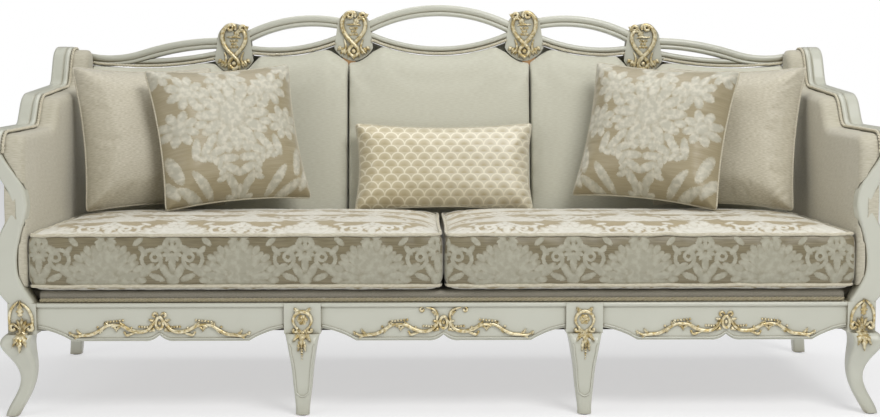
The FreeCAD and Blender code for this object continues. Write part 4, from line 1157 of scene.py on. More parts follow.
@dataclass
class Carver:
    """Collects the strokes and leaves of one carving; sizes are in millimetres.

    Attributes:
        ground: The surface that it lies on.
        x: Middle of the carving along the sofa, in metres.
        z: Its height, in metres.
        flip: -1 to mirror it about its own upright.
    """

    ground: Ground
    x: float
    z: float
    flip: float = 1.0
    strokes: list[Stroke] = field(default_factory=list)
    reliefs: list[Relief] = field(default_factory=list)

    def line(self, points: list[tuple[float, float]], thick: float, rise: float = 1.5,
             ends: tuple[float, float] = (0.45, 0.45)) -> None:
        """Adds a smooth stroke that tapers to both ends.

        Args:
            points: Its places, across and up.
            thick: Its radius where it is fullest.
            rise: How far its middle line stands out.
            ends: The share of the radius that is left at each end.
        """
        last = len(points) - 1
        thick *= CARVED_FULLNESS
        radii = []
        for index in range(last + 1):
            share = index / last
            low = ends[0] * (1.0 - share) + ends[1] * share
            radii.append(thick * MM * (low + (1.0 - low) * math.sin(math.pi * share) ** 0.7))
        placed = [self.ground.put(self.x + self.flip * a * MM, self.z + b * MM, rise * MM)
                  for a, b in points]
        self.strokes.append(Stroke(placed, radii))

    def volute(self, across: float, up: float, radius: float, start: float, sweep: float,
               thick: float, close: float = 0.4, rise: float = 1.5) -> None:
        """Adds a C-scroll that curls in to a round eye.

        Args:
            across: Its middle along the sofa.
            up: Its middle's height.
            radius: Its reach at its start.
            start: Where it starts, in degrees.
            sweep: How far it turns, in degrees.
            thick: Its stroke's fullest radius.
            close: The share of the reach that is left at the eye.
            rise: How far its middle line stands out.
        """
        count = max(6, round(abs(sweep) / 28.0))
        points = []
        for index in range(count + 1):
            share = index / count
            angle = math.radians(start + sweep * share)
            reach = radius * (1.0 - (1.0 - close) * share)
            points.append((across + reach * math.cos(angle), up + reach * math.sin(angle)))
        self.line(points, thick, rise, (0.35, 0.8))
        self.bead(*points[-1], thick * 1.25, rise)

    def bead(self, across: float, up: float, radius: float, rise: float = 1.0) -> None:
        """Adds a round bead."""
        radius *= 0.5 + 0.5 * CARVED_FULLNESS
        self.flower(across, up, radius, radius * 0.95 + rise, 0)

    def leaf(self, across: float, up: float, angle: float, long: float, half_wide: float,
             height: float = 5.0, lobes: int = 3, bend: float = 0.0) -> None:
        """Adds an acanthus leaf.

        Args:
            across: Foot of the leaf along the sofa.
            up: Its height.
            angle: Heading from +X towards +Z, in degrees.
            long: The leaf's length.
            half_wide: Half its width.
            height: How far its ribs stand out.
            lobes: Lobes on each side.
            bend: How far the leaf turns over its length, in degrees.
        """
        half_wide, height = half_wide * CARVED_FULLNESS, height * CARVED_FULLNESS
        rows, columns = 5 * lobes + 2, 9
        net = []
        a, b = across, up
        for i in range(rows + 1):
            share = i / rows
            heading = math.radians(angle + bend * share)
            ca, sa = math.cos(heading), math.sin(heading)
            lobe = 0.78 + 0.22 * math.cos(2.0 * math.pi * lobes * (share - 0.5 / lobes))
            half = half_wide * math.sin(math.pi * min(1.0, 0.06 + share ** 0.85)) ** 0.75 * lobe
            row = []
            for j in range(columns):
                v = 2.0 * j / (columns - 1) - 1.0
                swept_back = -0.35 * abs(v) * half
                out = (1.0 - abs(v) ** 2.4) * (0.5 + 0.5 * math.sin(math.pi * share))
                rib = 0.22 * math.cos(3.0 * math.pi * abs(v)) * (1.0 - abs(v))
                tip = 0.5 * share ** 3
                px = a - sa * v * half + ca * swept_back
                pz = b + ca * v * half + sa * swept_back
                rise = height * max(0.05, out * (0.85 + rib) + tip * (1.0 - v * v))
                row.append((self.x + self.flip * px * MM, self.z + pz * MM, rise * MM))
            net.append(row)
            a += ca * long / rows
            b += sa * long / rows
        self.reliefs.append(Relief(net))

    def flower(self, across: float, up: float, radius: float, height: float, petals: int) -> None:
        """Adds a rosette, or a plain domed bead where petals is 0.

        Args:
            across: Its middle along the sofa.
            up: Its middle's height.
            radius: Its reach.
            height: How far it stands out.
            petals: How many petals it has, or 0.
        """
        rows, columns = (7, max(10, petals * 6))
        net = []
        for i in range(rows + 1):
            share = i / rows
            row = []
            for j in range(columns):
                angle = 2.0 * math.pi * j / columns
                lobe = abs(math.cos(petals * angle / 2.0)) if petals else 1.0
                reach = radius * share * (0.84 + 0.16 * lobe)
                dome = math.sqrt(max(0.0, 1.0 - share * share))
                if petals:
                    ring = math.sin(math.pi * min(1.0, share * 1.1)) ** 2
                    middle = math.exp(-(share / 0.22) ** 2)
                    dome = 0.25 * dome + 0.6 * ring * (0.35 + 0.65 * lobe) + 0.75 * middle
                row.append((self.x + self.flip * (across + reach * math.cos(angle)) * MM,
                            self.z + (up + reach * math.sin(angle)) * MM,
                            height * dome * MM))
            net.append(row)
        self.reliefs.append(Relief(net, ring=True))

    def cut(self, name: str) -> Object:
        """Makes the carving's one mesh.

        Args:
            name: The object's name.

        Returns:
            The mesh object.
        """
        made = []
        if self.reliefs:
            made.append(carved(name, self.reliefs, self.ground))
        if self.strokes:
            made.append(swept(name + "_strokes", self.strokes, detail=2, steps=4))
        if len(made) > 1:
            select_only(made[0])
            made[1].select_set(True)
            bpy.ops.object.join()
        made[0].name = name
        return made[0]


@dataclass
class Carvings:
    """All the gilt carving: cartouches, apron sprays, leg rosettes and knees."""

    nodes: dict
    gilt: Material
    cartouche_places: tuple[tuple[str, float, float], ...] = (("inner", 0.270, 1.026),
                                                              ("outer", 0.648, 0.986))
    apron_z: float = 0.239
    notch_x: float = 0.747
    knee_x: float = 1.105

    def cartouche(self, name: str, x: float, z: float, flip: float, ground: Ground) -> None:
        """Two ribbons that cross under a lattice shell, with gadroons at their foot.

        Args:
            name: The CAD node.
            x: The middle along the sofa, in metres.
            z: Its height, in metres.
            flip: -1 to mirror it.
            ground: The wood behind it.
        """
        work = Carver(ground, x, z, flip)
        work.line([(4, -70), (-14, -62), (-16, -44), (2, -26), (24, -4), (37, 24), (36, 50),
                   (22, 68), (4, 73), (-8, 66), (-4, 56)], 5.4, 4.0, (0.7, 0.5))
        work.line([(-4, -70), (14, -60), (17, -44), (-2, -26), (-24, -4), (-38, 22), (-36, 46),
                   (-24, 56), (-14, 48)], 5.0, 3.0, (0.7, 0.5))
        work.line([(-30, -14), (-20, -34), (-28, -52), (-40, -58)], 3.4, 2.0)
        work.line([(30, -14), (22, -34), (30, -52), (41, -58)], 3.4, 2.0)
        work.volute(-27, 60, 11, 200, -300, 4.0, rise=4.0)
        work.volute(12, 62, 11, 100, 290, 3.6, rise=5.0)
        work.leaf(-6, 30, 96, 36, 9, 6.0, 3, 40)
        work.leaf(-34, 52, 110, 22, 7, 5.0, 2, 60)
        for row in range(3):
            for column in range(3 - row % 2):
                work.flower(-9 + 9 * column + 4.5 * (row % 2), 2 + 10 * row, 5.4, 4.0, 4)
        work.line([(-22, 30), (-8, 36), (6, 32), (22, 34)], 2.4, 3.0)
        work.flower(0, -50, 8.5, 9.0, 0)
        for index in range(4):
            spread = 14 + 8.5 * index
            for side in (-1, 1):
                work.leaf(side * spread, -46 + 3 * index, -90 + side * (8 + 13 * index),
                          26 - 3 * index, 5.6, 5.5, 1)
        work.leaf(0, -58, -90, 20, 7, 6.0, 2)
        dressed(work.cut(name + "_gilding"), [self.gilt], Body.FRAME, (name,))

    def spray(self, work: Carver, side: float) -> None:
        """A long vine with leaves and curls, from a ring outwards.

        Args:
            work: The apron's carver.
            side: The way that it runs, as the sign of X.
        """
        def mirrored(points: list) -> list:
            """Turns the vine's places to its side."""
            return [(side * a, b) for a, b in points]

        work.line(mirrored([(8, 14), (16, 2), (30, -16), (52, -21), (78, -15), (96, -3),
                            (112, 0), (126, -6)]), 3.9, 2.4)
        work.line(mirrored([(60, -20), (78, -26), (88, -30), (92, -22)]), 3.0, 2.0)
        work.line(mirrored([(104, 0), (130, 2), (152, -12), (176, -27), (200, -28),
                            (222, -32), (232, -24)]), 3.6, 2.4)
        for a, b, angle, long in ((40, -19, 150, 20), (24, -8, 100, 16), (92, -4, 30, 20),
                                  (104, -2, -60, 18), (120, -4, -130, 18), (128, -4, 24, 20),
                                  (140, -6, 60, 14), (152, -12, -70, 16), (206, -28, 40, 20),
                                  (214, -30, -50, 14), (232, -28, 60, 10)):
            heading = angle if side > 0 else 180 - angle
            work.leaf(side * a, b, heading, long, 4.4, 4.0, 2, 30 * side)
        gallery = [(96 + 8 * k, 11 - 0.8 * k) for k in range(6)]
        gallery += [(32 + 7 * k, -7 + 0.4 * k) for k in range(4)]
        for a, b in [(92, -21), (236, -22), (162, -7), (74, -9)] + gallery:
            work.bead(side * a, b, 3.0)

    def apron(self, name: str, x: float, tall: bool, ground: Ground) -> None:
        """A pierced oval ring between two sprays, with tall scrolls on the middle apron.

        Args:
            name: The CAD node.
            x: The middle along the sofa, in metres.
            tall: Whether it has the tall scrolls.
            ground: The wood behind it.
        """
        work = Carver(ground, x, self.apron_z)
        ring = [(10 * math.cos(a), 16 * math.sin(a) + 4)
                for a in (math.radians(30 * k) for k in range(13))]
        work.line(ring, 3.2, 2.5, (1.0, 1.0))
        work.flower(0, 4, 6, 3.0, 0)
        for side in (-1.0, 1.0):
            self.spray(work, side)
            if tall:
                work.line([(side * a, b) for a, b in ((14, -10), (20, 6), (15, 22), (20, 34),
                                                      (32, 42), (46, 44))], 2.8, 2.5)
                work.volute(side * 56, 38, 7, 90, -side * 260, 2.6)
                work.leaf(side * 18, 24, 90 - 50 * side, 20, 5, 5.0, 2)
                work.leaf(side * 16, 6, 90 - 80 * side, 14, 5, 4.0, 2)
            else:
                work.volute(side * 12, 24, 8, 90 + 90 * side, -side * 250, 2.6)
                work.leaf(side * 14, 8, 90 - 70 * side, 16, 5, 4.0, 2)
            work.leaf(side * 12, -12, 90 - 110 * side, 20, 5, 4.5, 2)
        dressed(work.cut(name + "_gilding"), [self.gilt], Body.FRAME, (name,))

    def leg(self, side: Side, ground: Ground) -> Object:
        """A rosette in a frame of scrolls with a leaf drop below, on a middle leg.

        Args:
            side: The leg's side.
            ground: The wood behind it.

        Returns:
            The mesh object.
        """
        work = Carver(ground, side.value * LEG_X, 0.0, side.value)
        work.flower(0, 252, 15, 8, 6)
        work.line([(25 * math.cos(a), 250 + 24 * math.sin(a))
                   for a in (math.radians(-50 + 28 * k) for k in range(11))], 3.4, 3.0)
        for way in (-1, 1):
            work.volute(way * 20, 224, 9, 90, way * 280, 3.4, rise=3.0)
            work.leaf(way * 6, 226, -90 + way * 24, 34, 7, 6.0, 3, way * 20)
            work.leaf(way * 12, 272, 90 - way * 40, 16, 6, 5.0, 2)
            work.leaf(way * 4, 200, -90 + way * 12, 30, 5, 5.0, 3)
        work.leaf(0, 222, -90, 44, 8, 8.0, 4)
        for index in range(5):
            work.bead(0, 178 - 7 * index, 3.4 - 0.45 * index)
        return work.cut("leg_rosette_" + side.word)

    def knee(self, side: Side, ground: Ground) -> Object:
        """Acanthus over the knee of a corner post, with a shell above.

        Args:
            side: The post's side.
            ground: The wood behind it.

        Returns:
            The mesh object.
        """
        work = Carver(ground, side.value * self.knee_x, 0.0, side.value)
        for angle, long, half in ((-66, 44, 9), (-90, 56, 10), (-114, 44, 9)):
            work.leaf(0, 226, angle, long, half, 8.0, 4)
        for angle in (40, 66, 90, 114, 140):
            work.leaf(0, 226, angle, 34 - abs(angle - 90) * 0.12, 6.5, 7.0, 2)
        work.volute(-20, 232, 11, 60, 260, 3.8, rise=3.0)
        work.volute(22, 232, 11, 120, -260, 3.8, rise=3.0)
        work.line([(-26, 222), (-30, 250), (-22, 276), (-8, 292), (4, 300)], 3.2, 2.0)
        work.line([(28, 222), (34, 250), (30, 278), (18, 294), (8, 302)], 3.2, 2.0)
        work.leaf(4, 262, 84, 44, 8, 6.0, 4, 16)
        work.flower(0, 226, 9, 9, 6)
        return work.cut("knee_carving_" + side.word)

    def build(self) -> None:
        """Makes every carving on the wood that carries it."""
        crest = Ground(self.nodes, ("crest_blocks",), CREST_FACE)
        for side in Side:
            for place, x, z in self.cartouche_places:
                self.cartouche(f"cartouche_{side.word}_{place}", side.value * x, z,
                               side.value, crest)
        apron_ground = Ground(self.nodes, APRONS, APRON_FACE)
        self.apron("apron_carving_centre", 0.0, True, apron_ground)
        for side in Side:
            self.apron("apron_carving_" + side.word, side.value * self.notch_x, False, apron_ground)
        legs = Ground(self.nodes, MIDDLE_LEGS, LEG_FACE)
        rosettes = [self.leg(side, legs) for side in Side]
        posts = Ground(self.nodes, ("front_post_left", "front_post_right"), LEG_FACE)
        knees = [self.knee(side, posts) for side in Side]
        for piece in rosettes:
            dressed(piece, [self.gilt], Body.FRAME, ("leg_rosettes",))
        for piece in knees:
            dressed(piece, [self.gilt], Body.FRAME, ("knee_carvings",))


@dataclass
class Mouldings:
    """The raised beads along the lower edge of the aprons and down the middle legs.

    Attributes:
        nodes: The frame's CAD nodes.
        paint: Their material.
        radius: A bead's radius.
        inset: From the wood's edge to the bead's middle.
        step: From one felt place to the next.
        apron_half: How far the aprons reach from the middle.
        apron_low: A height under the aprons' lowest edge.
        apron_high: The highest that their lower edge comes.
        leg_half: More than half a leg's width.
        leg_top: Where a leg's beads start.
        leg_rows: How many places a leg's bead has.
        fewest: The fewest places that make a bead.
    """

    nodes: dict
    paint: Material
    radius: float = 0.0026
    inset: float = 0.0065
    step: float = 0.006
    apron_half: float = 1.07
    apron_low: float = 0.13
    apron_high: float = 0.29
    leg_half: float = 0.06
    leg_top: float = 0.19
    leg_rows: int = 23
    fewest: int = 5

    def edge_stroke(self, ground: Ground, places: list[tuple[float, float]]) -> Stroke:
        """A bead through places of the front view."""
        points = [ground.put(a, b, 0.3 * self.radius) for a, b in places]
        return Stroke(points, [self.radius] * len(points))

    def apron_edges(self) -> list[Stroke]:
        """Beads that follow the aprons' lower edges.

        Returns:
            The beads.
        """
        ground = Ground(self.nodes, APRONS, APRON_FACE)
        runs = [[]]
        for index in range(round(2.0 * self.apron_half / self.step) + 1):
            x = -self.apron_half + index * self.step
            z = self.apron_low
            while z < self.apron_high + 0.01 and ground.hit(x, z) is None:
                z += MM
            if z < self.apron_high:
                runs[-1].append((x, z + self.inset))
            elif len(runs[-1]) >= self.fewest:
                runs.append([])
        return [self.edge_stroke(ground, run) for run in runs if len(run) >= self.fewest]

    def leg_edges(self) -> list[Stroke]:
        """Beads down both edges of each middle leg, closed by a bow over its foot.

        Returns:
            The beads.
        """
        ground = Ground(self.nodes, MIDDLE_LEGS, LEG_FACE)
        strokes = []
        for side in Side:
            middle = side.value * LEG_X
            rows = [self.leg_top - index * self.step for index in range(self.leg_rows)]
            sides = []
            for way in (-1, 1):
                places = []
                for z in rows:
                    x = middle + way * self.leg_half
                    while abs(x - middle) > MM and ground.hit(x, z) is None:
                        x -= way * MM
                    places.append((x - way * self.inset, z))
                sides.append(places)
            foot = (middle, rows[-1] - 2.0 * self.step)
            strokes.append(self.edge_stroke(ground, sides[0] + [foot] + sides[1][::-1]))
        return strokes

    def build(self) -> None:
        """Makes the beads."""
        for name, strokes in (("apron_bead", self.apron_edges()), ("leg_bead", self.leg_edges())):
            piece = swept(name, strokes, detail=2, steps=2)
            dressed(piece, [self.paint], Body.FRAME)


# Cushions and pillows


def crown(share: float) -> float:
    """How full a stuffed face is at a share of the way from its seam to its middle."""
    return (1.0 - (1.0 - min(1.0, share)) ** 4.5) ** 0.78


def drawn(u: float, v: float, half: tuple[float, float], draw: float,
          corner: float) -> tuple[float, float]:
    """A place of the unit square on a four-sided outline whose sides are drawn in.

    Args:
        u: Place across, from -1 to 1.
        v: Place up, from -1 to 1.
        half: Half the outline's size each way.
        draw: How far the middles of the sides come in.
        corner: Radius of the corners.

    Returns:
        The place on the outline.
    """
    cut = 0.2929 * corner * (abs(u) * abs(v)) ** 14
    a = u * (half[0] - draw * (1.0 - v * v) - cut)
    b = v * (half[1] - draw * (1.0 - u * u) - cut)
    return a, b


def filled_square(columns: int, rows: int) -> tuple[list, list, list]:
    """The unit square as a net.

    Args:
        columns: Faces across.
        rows: Faces up.

    Returns:
        Its places, its faces, and the numbers of the points round its edge.
    """
    places = [(2.0 * i / columns - 1.0, 2.0 * j / rows - 1.0)
              for j in range(rows + 1) for i in range(columns + 1)]
    wide = columns + 1
    faces = [(j * wide + i, j * wide + i + 1, (j + 1) * wide + i + 1, (j + 1) * wide + i)
             for j in range(rows) for i in range(columns)]
    rim = list(range(wide))
    rim += [j * wide + columns for j in range(1, rows + 1)]
    rim += [rows * wide + i for i in range(columns - 1, -1, -1)]
    rim += [j * wide for j in range(rows - 1, 0, -1)]
    return places, faces, rim


@dataclass(frozen=True)
class Pose:
    """How a pillow leans: its turns about Z, X and Y in that order, in degrees."""

    yaw: float
    lean: float
    roll: float = 0.0

    def turn(self) -> Matrix:
        """The turn as a matrix."""
        return (Matrix.Rotation(math.radians(self.yaw), 3, "Z")
                @ Matrix.Rotation(math.radians(-self.lean), 3, "X")
                @ Matrix.Rotation(math.radians(self.roll), 3, "Y"))


@dataclass
class Pillow:
    """A knife-edged pillow with a corded seam; sizes are in millimetres.

    Attributes:
        node: The CAD node that it stands for.
        body: The body that it rides on.
        size: Its width and height, seam to seam.
        half_thick: Half its thickness in the middle.
        pose: How it leans.
        slot: The record's material slot; not used.
        gathered: Edges with gathers: "left", "right" or both.
        seed: Number that its folds start from.
        cord: Radius of the cord in its seam.
        slack: How deep its folds are.
        gather_depth: How deep the gathers are at a gathered edge.
        gather_reach: How far they run in from it.
        pinch: How deep the cloth pinches in at the corners.
        draw: How far the middles of its sides come in.
        corner: Radius of its corners.
        net: Size of its net.
    """

    node: str
    body: Body
    size: tuple[float, float]
    half_thick: float
    pose: Pose
    slot: str
    gathered: tuple[str, ...]
    seed: float
    cord: float = 3.2
    slack: float = 3.0
    gather_depth: float = 3.0
    gather_reach: float = 26.0
    pinch: float = 2.6
    draw: float = 15.0
    corner: float = 10.0
    net: float = 7.5

    def middle(self, node: Object) -> Vector:
        """The pillow's middle: that of its CAD mesh's box in the pillow's own turn.

        Args:
            node: The CAD node.

        Returns:
            The middle, in metres.
        """
        back = self.pose.turn().transposed()
        points = [back @ vertex.co for vertex in node.data.vertices]
        low = Vector([min(point[axis] for point in points) for axis in range(3)])
        high = Vector([max(point[axis] for point in points) for axis in range(3)])
        return self.pose.turn() @ ((low + high) / 2.0)

    def gather(self, a: float, b: float, edge: float) -> float:
        """Depth of the gathers at a place, fading from a gathered edge.

        Args:
            a: Place across, from the middle.
            b: Place up, from the middle.
            edge: Place along the rim.

        Returns:
            The depth.
        """
        depth = 0.0
        for word, side in (("left", -1.0), ("right", 1.0)):
            if word in self.gathered:
                off = self.size[0] / 2.0 - side * a
                wave = math.sin(b / 4.4 + 1.4 * math.sin(b / 23.0 + self.seed))
                reach = self.gather_reach + 16.0 * math.sin(b / 9.0 + self.seed)
                fade = math.exp(-max(0.0, off - 6.0) / reach) * min(1.0, off / 5.0)
                depth += self.gather_depth * wave * fade
        corner = math.hypot(self.size[0] / 2.0 - abs(a), self.size[1] / 2.0 - abs(b))
        fade = math.exp(-((corner - 55.0) / 34.0) ** 2)
        return depth + self.pinch * math.sin(edge / 5.5 + self.seed) * fade

    def folded(self, a: float, b: float, side: float) -> float:
        """Depth of the soft folds at a place of a face.

        Args:
            a: Place across, from the middle.
            b: Place up, from the middle.
            side: -1 for the front face and 1 for the back one.

        Returns:
            The depth.
        """
        place = Vector((a / 92.0, b / 92.0, self.seed + 3.0 * side))
        sag = noise.noise(place) + 0.45 * noise.noise(place * 2.3)
        return self.slack * sag

    def shaped(self) -> tuple[Object, list[int]]:
        """Makes the closed pillow about the origin.

        Returns:
            The piece and the numbers of its seam's points.
        """
        columns, rows = (round(length / self.net) for length in self.size)
        places, faces, rim = filled_square(columns, rows)
        seam = set(rim)
        points, number = [], {}
        least = min(self.size) / 2.0
        half = (self.size[0] / 2.0, self.size[1] / 2.0)
        for side in (-1.0, 1.0):
            for index, (u, v) in enumerate(places):
                if side > 0 and index in seam:
                    number[(side, index)] = number[(-1.0, index)]
                    continue
                a, b = drawn(u, v, half, self.draw, self.corner)
                near_a, near_b = half[0] * (1.0 - abs(u)), half[1] * (1.0 - abs(v))
                share = (near_a ** -4 + near_b ** -4) ** -0.25 / least if index not in seam else 0.0
                thick = self.half_thick * 0.975 * crown(share)
                if index not in seam:
                    fade = min(1.0, share / 0.12)
                    thick += fade * (self.folded(a, b, side) + self.gather(a, b, a - b))
                number[(side, index)] = len(points)
                points.append(Vector((a, side * max(0.0, thick), b)) * MM)
        skin = [tuple(number[(-1.0, k)] for k in face) for face in faces]
        skin += [tuple(number[(1.0, k)] for k in reversed(face)) for face in faces]
        piece = added(self.node + "_pillow", points, skin)
        return piece, [number[(-1.0, k)] for k in rim]

    def build(self, node: Object, cloth: Material, piping: Material) -> None:
        """Makes the pillow and its corded seam.

        Args:
            node: The CAD node.
            cloth: The cover's material.
            piping: The seam cord's material.
        """
        place = Matrix.Translation(self.middle(node)) @ self.pose.turn().to_4x4()
        piece, seam = self.shaped()
        simulated(piece, 3.0, 3.5 * MM, 0.012, seam)
        modified(piece, "SUBSURF", {"levels": 1, "render_levels": 1})
        high = self.size[1] / 2.0 * MM
        laid_cloth(piece, lambda point, normal: (point.x, point.z + high))
        edge = [piece.data.vertices[k].co.copy() for k in seam]
        piece.data.transform(place)
        select_only(piece)
        bpy.ops.object.shade_smooth()
        dressed(piece, [cloth], self.body, (self.node,))
        cord_points = [place @ point for point in evenly(edge, 7.0 * MM, True)]
        cord = swept(self.node + "_seam_cord",
                     [Stroke(cord_points, [self.cord * MM] * len(cord_points), True)],
                     detail=1, steps=2)
        laid_cloth(cord, lambda point, normal: (point.x + point.y, point.z))
        dressed(cord, [piping], self.body)


# Rings of a cushion's border from its upper cord down: rise, inset and share of the pucker
BORDER_RINGS = ((142.0, 1.5, 0.6), (134.0, -1.0, 0.9), (122.0, -2.0, 0.5), (108.0, -2.5, 0.25),
                (92.0, -3.0, 0.1), (75.0, -3.0, 0.0), (58.0, -3.0, 0.1), (43.0, -2.5, 0.25),
                (31.0, -1.5, 0.6), (21.0, 1.5, 0.9), (14.0, 6.5, 0.0), (7.0, 12.0, 0.0),
                (2.0, 21.0, 0.0), (0.0, 34.0, 0.0))


@dataclass
class SeatCushion:
    """A boxed seat cushion: a damask border between two cords under a crowned top.

    Sizes are in millimetres; rises are above the cushion's underside. pattern_foot is the
    height above the floor that the border's pattern starts at.
    """

    side: Side
    border_shift: float
    half: tuple[float, float] = (544.25, 330.0)
    middle: tuple[float, float, float] = (545.75, -101.0, 326.5)
    corner: float = 24.0
    low_cord: float = 14.0
    top_cord: float = 147.0
    waist: float = 75.0
    crown_rise: float = 27.0
    cord_stray: float = 2.6
    pucker_depth: float = 2.2
    bottom_inset: float = 34.0
    cord: float = 4.6
    net: tuple[int, int] = (74, 44)
    pattern_foot: float = 345.0
    up_facing: float = 0.72

    @property
    def node(self) -> str:
        """The CAD node that it stands for."""
        return "seat_cushion_" + self.side.word

    def wave(self, edge: float, seed: float) -> float:
        """How far a cord strays up or down.

        Args:
            edge: The distance along it.
            seed: Number that its waves start from.

        Returns:
            How far, in millimetres.
        """
        place = Vector((edge / 62.0, seed, 7.0 * self.side.value))
        fine = Vector((edge / 24.0, seed + 4.0, 3.0 * self.side.value))
        return self.cord_stray * noise.noise(place) + 1.1 * noise.noise(fine)

    def pucker(self, edge: float, seed: float) -> float:
        """How deep the cloth puckers beside a cord at a distance along it."""
        place = Vector((edge / 19.0, seed, 2.0 * self.side.value))
        return self.pucker_depth * noise.noise(place)

    def spot(self, u: float, v: float, inset: float, rise: float) -> Vector:
        """A point of the cushion, about its own middle.

        Args:
            u: Place from side to side, from -1 to 1.
            v: Place from front to back.
            inset: How far inside the outline it is.
            rise: Its rise.

        Returns:
            The point, in metres.
        """
        half = (self.half[0] - max(inset, -0.5), self.half[1] - inset)
        a, b = drawn(u, v, half, 5.0, self.corner)
        return Vector((a, b, rise)) * MM

    def top(self, u: float, v: float) -> float:
        """Rise of the crowned top at a place.

        Args:
            u: Place from side to side, from -1 to 1.
            v: Place from front to back.

        Returns:
            The rise.
        """
        near = (self.half[0] * (1.001 - abs(u)), self.half[1] * (1.001 - abs(v)))
        share = (near[0] ** -3 + near[1] ** -3) ** (-1.0 / 3.0) / self.half[1]
        place = Vector((u * 3.2 + self.side.value, v * 2.1, 5.0))
        sag = noise.noise(place) + 0.5 * noise.noise(place * 2.4)
        rise = self.top_cord + self.crown_rise * crown(0.75 * share)
        return rise + 2.6 * sag * min(1.0, share / 0.1)

    def shaped(self) -> tuple[Object, list, list]:
        """Makes the closed cushion about its own middle.

        Returns:
            The piece, the points along each cord's line, and the points that stay put.
        """
        places, faces, rim = filled_square(*self.net)
        length = [0.0]
        for start, end in zip(rim, rim[1:]):
            gap = (places[end][0] - places[start][0], places[end][1] - places[start][1])
            length.append(length[-1] + abs(gap[0]) * self.half[0] + abs(gap[1]) * self.half[1])
        edge_at = dict(zip(rim, length))
        points = []
        for u, v in places:
            points.append(self.spot(u, v, 7.0, self.top(u, v)))
        for index in rim:
            points[index].z = (self.top_cord + self.wave(edge_at[index], 1.0)) * MM
        above, bands, low_line = list(rim), [], []
        for rise, inset, share in BORDER_RINGS:
            ring = []
            for index in rim:
                u, v = places[index]
                edge = edge_at[index]
                near_top = max(0.0, (rise - self.waist) / (self.top_cord - self.waist))
                near_low = max(0.0, (self.waist - rise) / (self.waist - self.low_cord))
                near_low *= rise > self.low_cord / 2.0
                stray = self.wave(edge, 1.0) * near_top + self.wave(edge, 9.0) * near_low
                puck = self.pucker(edge, 3.0 if rise > self.waist else 5.0) * share
                ring.append(len(points))
                points.append(self.spot(u, v, inset - puck, rise + stray))
            count = len(ring)
            bands += [(above[(k + 1) % count], above[k], ring[k], ring[(k + 1) % count])
                      for k in range(count)]
            above = ring
            if rise == self.low_cord:
                low_line = list(ring)
        under = {index: above[k] for k, index in enumerate(rim)}
        for index, (u, v) in enumerate(places):
            if index not in under:
                under[index] = len(points)
                points.append(self.spot(u, v, self.bottom_inset, 0.0))
        base = [tuple(under[k] for k in reversed(face)) for face in faces]
        piece = added(self.node + "_cover", points, faces + bands + base)
        lines = [[points[k] for k in rim], [points[k] for k in low_line]]
        pinned = list(rim) + low_line + sorted(set(under.values()))
        return piece, lines, pinned

    def build(self, border: Material, top: Material, piping: Material) -> None:
        """Makes the cushion and its cords.

        Args:
            border: The border's damask.
            top: The cloth above the upper cord and under the lower one, lighter as painted light.
            piping: The cords' material.
        """
        x = self.side.value * self.middle[0]
        place = Matrix.Translation(Vector((x, self.middle[1], self.middle[2])) * MM)
        piece, lines, pinned = self.shaped()
        simulated(piece, 2.0, 4.0 * MM, 0.008, pinned)
        modified(piece, "SUBSURF", {"levels": 1, "render_levels": 1})
        piece.data.transform(place)

        def along(point: Vector, normal: Vector) -> tuple[float, float]:
            """Runs the border's pattern round the sides and the top's over the top.

            Args:
                point: A point of the cushion.
                normal: Its face's normal.

            Returns:
                Its place on the cloth.
            """
            if abs(normal.z) > self.up_facing:
                return point.x + self.border_shift * MM, point.y
            up = point.z - self.pattern_foot * MM
            if abs(normal.y) > abs(normal.x):
                return point.x + self.border_shift * MM, up
            return point.y, up

        laid_cloth(piece, along)
        select_only(piece)
        bpy.ops.object.shade_smooth()
        dressed(piece, [border, top], Body["SEAT_" + self.side.name], (self.node,))
        # The faces above the upper cord and under the lower one take the lighter top damask:
        # painted light from above
        limit = (self.middle[2] + self.top_cord - 3.0) * MM
        low_limit = (self.middle[2] + self.low_cord) * MM
        for face in piece.data.polygons:
            height = face.center.z
            if height > limit or height < low_limit:
                face.material_index = 1
        for word, line, lift in (("top", lines[0], 1.0), ("low", lines[1], 0.0)):
            out = []
            for point in line:
                level = Vector((point.x, point.y, 0.0)).normalized()
                out.append(place @ (point + level * 3.4 * MM + Vector((0, 0, lift * MM))))
            path = evenly(out, 9.0 * MM, True)
            cord = swept(f"{self.node}_{word}_cord",
                         [Stroke(path, [self.cord * MM] * len(path), True)], detail=2, steps=2)
            laid_cloth(cord, lambda point, normal: (point.x + point.y, point.z))
            dressed(cord, [piping], Body["SEAT_" + self.side.name])


# The fixed upholstery


